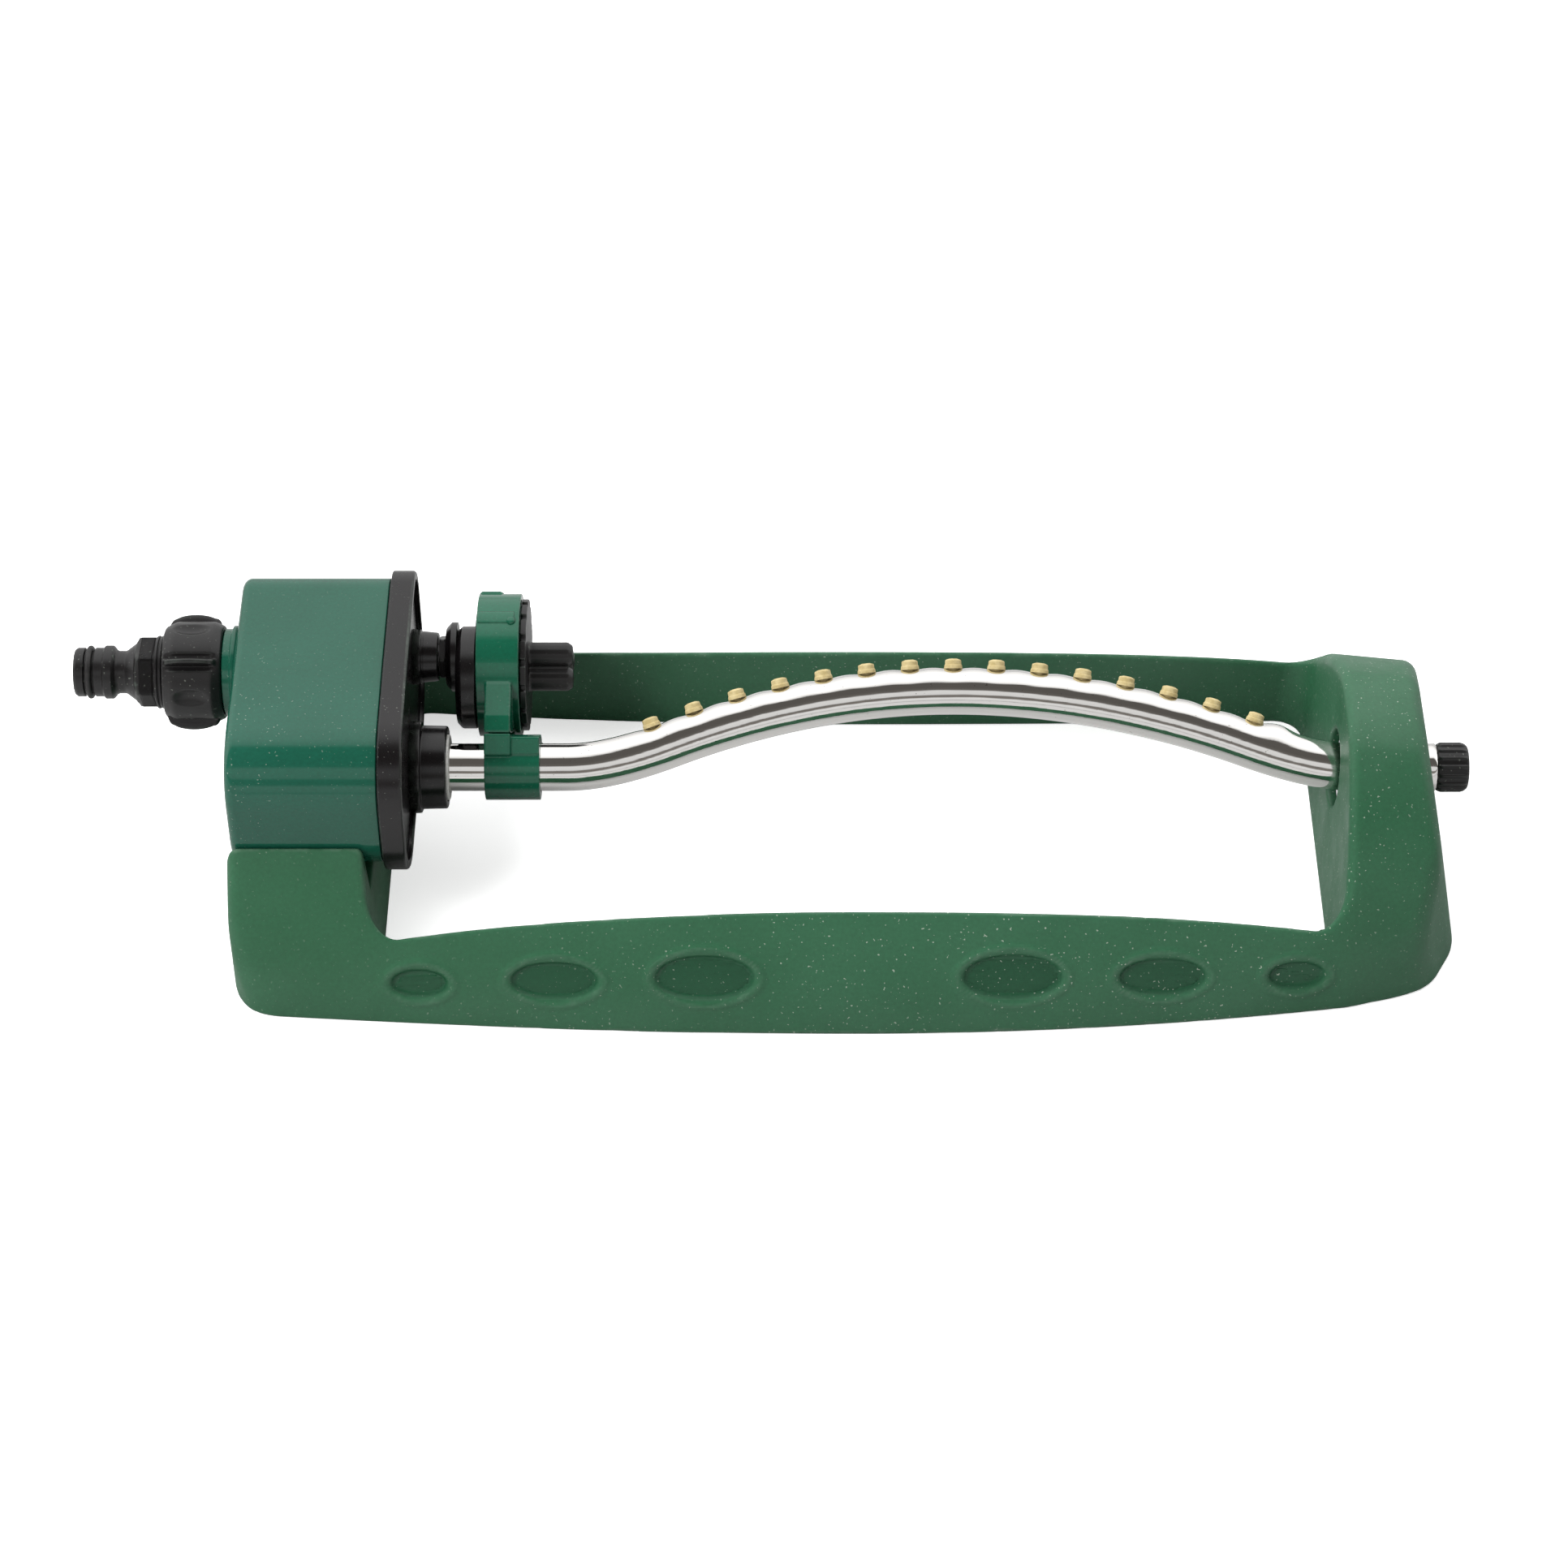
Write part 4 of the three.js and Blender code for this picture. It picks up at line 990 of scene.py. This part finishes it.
def dial():
    curves = [(-86.5 * MM, -83 * MM, circle(STRAP_AXIS, 22.4 * MM))]
    piece = moulded("dial_knob", "pattern_dial", 0.42 * MM, curves, 3)
    return place(piece, "dial", "black_plastic", BLACK, "pattern_dial")


def shaft_nut():
    def flats(radius, along, angle):
        if radius < 5:
            return radius
        return min(radius, 6.6 / math.cos((angle + 0.2) % math.radians(60) - math.radians(30)))

    profile = [
        (4.3, -113, 0.2), (7.0, -113, 0.4), (7.6, -112.4, 0.2), (7.6, -111.4, 0.2), (7.2, -111, 0.2),
        (4.3, -111, 0.2),
    ]
    made = turned("shaft_hex", profile, (0, *SHAFT_AXIS), segments=144, shape=flats)
    return place(made, "crank", "black_plastic", BLACK, "shaft_nut")


def paint_cad(material, *nodes):
    """CAD nodes whose shape stays get a procedural material."""
    for node in nodes:
        mesh = frame["nodes"][node].data
        mesh.materials.clear()
        mesh.materials.append(material)


# ------------------------------------------------------------------ stage
def studio():
    world = bpy.data.worlds.new("studio")
    bpy.context.scene.world = world
    world.use_nodes = True
    nodes, links = world.node_tree.nodes, world.node_tree.links
    direction = nodes.new("ShaderNodeTexCoord").outputs["Generated"]
    split = nodes.new("ShaderNodeSeparateXYZ")
    links.new(direction, split.inputs[0])
    toward = nodes.new("ShaderNodeMath")
    toward.operation = "MULTIPLY"
    links.new(split.outputs["Y"], toward.inputs[0])
    toward.inputs[1].default_value = -1
    angle = nodes.new("ShaderNodeMath")
    angle.operation = "ARCTAN2"
    links.new(split.outputs["Z"], angle.inputs[0])
    links.new(toward.outputs[0], angle.inputs[1])
    scaled = nodes.new("ShaderNodeMapRange")
    links.new(angle.outputs[0], scaled.inputs["Value"])
    scaled.inputs["From Min"].default_value = 0.0
    scaled.inputs["From Max"].default_value = math.pi
    ramp = nodes.new("ShaderNodeValToRGB")
    links.new(scaled.outputs["Result"], ramp.inputs["Fac"])
    # softboxes and the gaps between them, from the front horizon over the top to the back horizon
    bands = [
        (0, 0.7), (11, 0.8), (15, 0.2), (24, 0.17), (28, 0.7), (45, 0.75), (50, 0.13), (62, 0.1), (86, 0.1),
        (92, 0.9), (104, 1.3), (142, 1.3), (180, 0.8),
    ]
    stops = ramp.color_ramp.elements
    while len(stops) < len(bands):
        stops.new(0.5)
    for stop, (degrees, value) in zip(stops, bands):
        stop.position = degrees / 180
        warm = 0.86 if value < 0.5 else 1.0
        stop.color = (value, value * (warm + 1) / 2, value * warm, 1)
    background = nodes["Background"]
    links.new(ramp.outputs["Color"], background.inputs["Color"])
    background.inputs["Strength"].default_value = 1.05

    low, high = Vector(CAD_BOX[0]), Vector(CAD_BOX[1])
    size = 6.0
    level = low.z - 0.0004
    corners = [(-size, -size, level), (size, -size, level), (size, size, level), (-size, size, level)]
    floor = new_object("floor", corners, [(0, 1, 2, 3)], smooth=False)
    # the paper is lit to white from below for the camera, and bounces less light into the undersides
    pale = Finish("floor_paper")
    tone = pale.mix(pale.between(pale.noise(3, 2), 0.3, 0.7), srgb(250, 250, 250), srgb(253, 253, 253))
    seen = pale.tree.nodes.new("ShaderNodeLightPath").outputs["Is Camera Ray"]
    tone = pale.mix(seen, srgb(190, 190, 190), tone)
    pale.tree.links.new(pale.math("MULTIPLY", seen, 0.6), pale.shader.inputs["Emission Strength"])
    floor.data.materials.append(
        pale.finish(tone, 0.9, Specular_IOR_Level=0.0, Emission_Color=(1.0, 1.0, 1.0, 1.0))
    )

    middle = (low + high) / 2
    for name, offset, reach, energy, glossy in (
        ("key", Vector((-1.0, -0.7, 1.2)), 0.8, 22, False),
        ("back", Vector((0.1, 0.9, 1.4)), 1.2, 10, False),
    ):
        data = bpy.data.lights.new(name, "AREA")
        data.energy = energy
        data.size = reach
        light = bpy.data.objects.new(name, data)
        light.location = middle + offset
        light.rotation_euler = (-offset).to_track_quat("-Z", "Y").to_euler()
        light.visible_glossy = glossy
        bpy.context.scene.collection.objects.link(light)


def camera():
    elevation = math.radians(45)
    distance = 1.431
    target = Vector((3.5, -30, 62)) * MM
    data = bpy.data.cameras.new("camera")
    data.lens = 100
    data.sensor_width = 36
    eye = bpy.data.objects.new("camera", data)
    eye.location = target + Vector((0, -math.cos(elevation), math.sin(elevation))) * distance
    eye.rotation_euler = (math.pi / 2 - elevation, 0, 0)
    bpy.context.scene.collection.objects.link(eye)
    bpy.context.scene.camera = eye
    bpy.context.scene.view_settings.view_transform = "Standard"


# ------------------------------------------------------------------ everything
camera()
studio()
base()
arch_bush()
gearbox_housing()
gearbox_cover()
tube_seal()
hose_tail()
ring_seal("connector_seal", -228.45, 8.0, 0.95, INLET_AXIS, "base", "hose_tail_oring")
swivel_nut()
spray_tube()
for number, nozzle_x in enumerate(NOZZLE_XS, 1):
    nozzle(number, nozzle_x)
end_plug()
ring_seal("plug_seal", 217.3, 5.85, 0.6, TUBE_AXIS, "plug", "plug_oring")
strap()
strap_latch()
clamp()
crank_disc()
dial()
shaft_nut()

paint_cad(STEEL, "base_screw_1", "base_screw_2", "turbine_pin", "idler_pin_1", "idler_pin_2")
paint_cad(STEEL, "drive_shaft", "link_pin", *[f"cover_screw_{i}" for i in range(1, 5)])
paint_cad(WHITE, "divider_plate", "inlet_filter", "turbine_rotor")
paint_cad(WHITE, "idler_gear_1", "idler_gear_2", "output_gear")
paint_cad(BLACK_RUBBER, "cover_gasket", "shaft_seal", "inlet_washer")
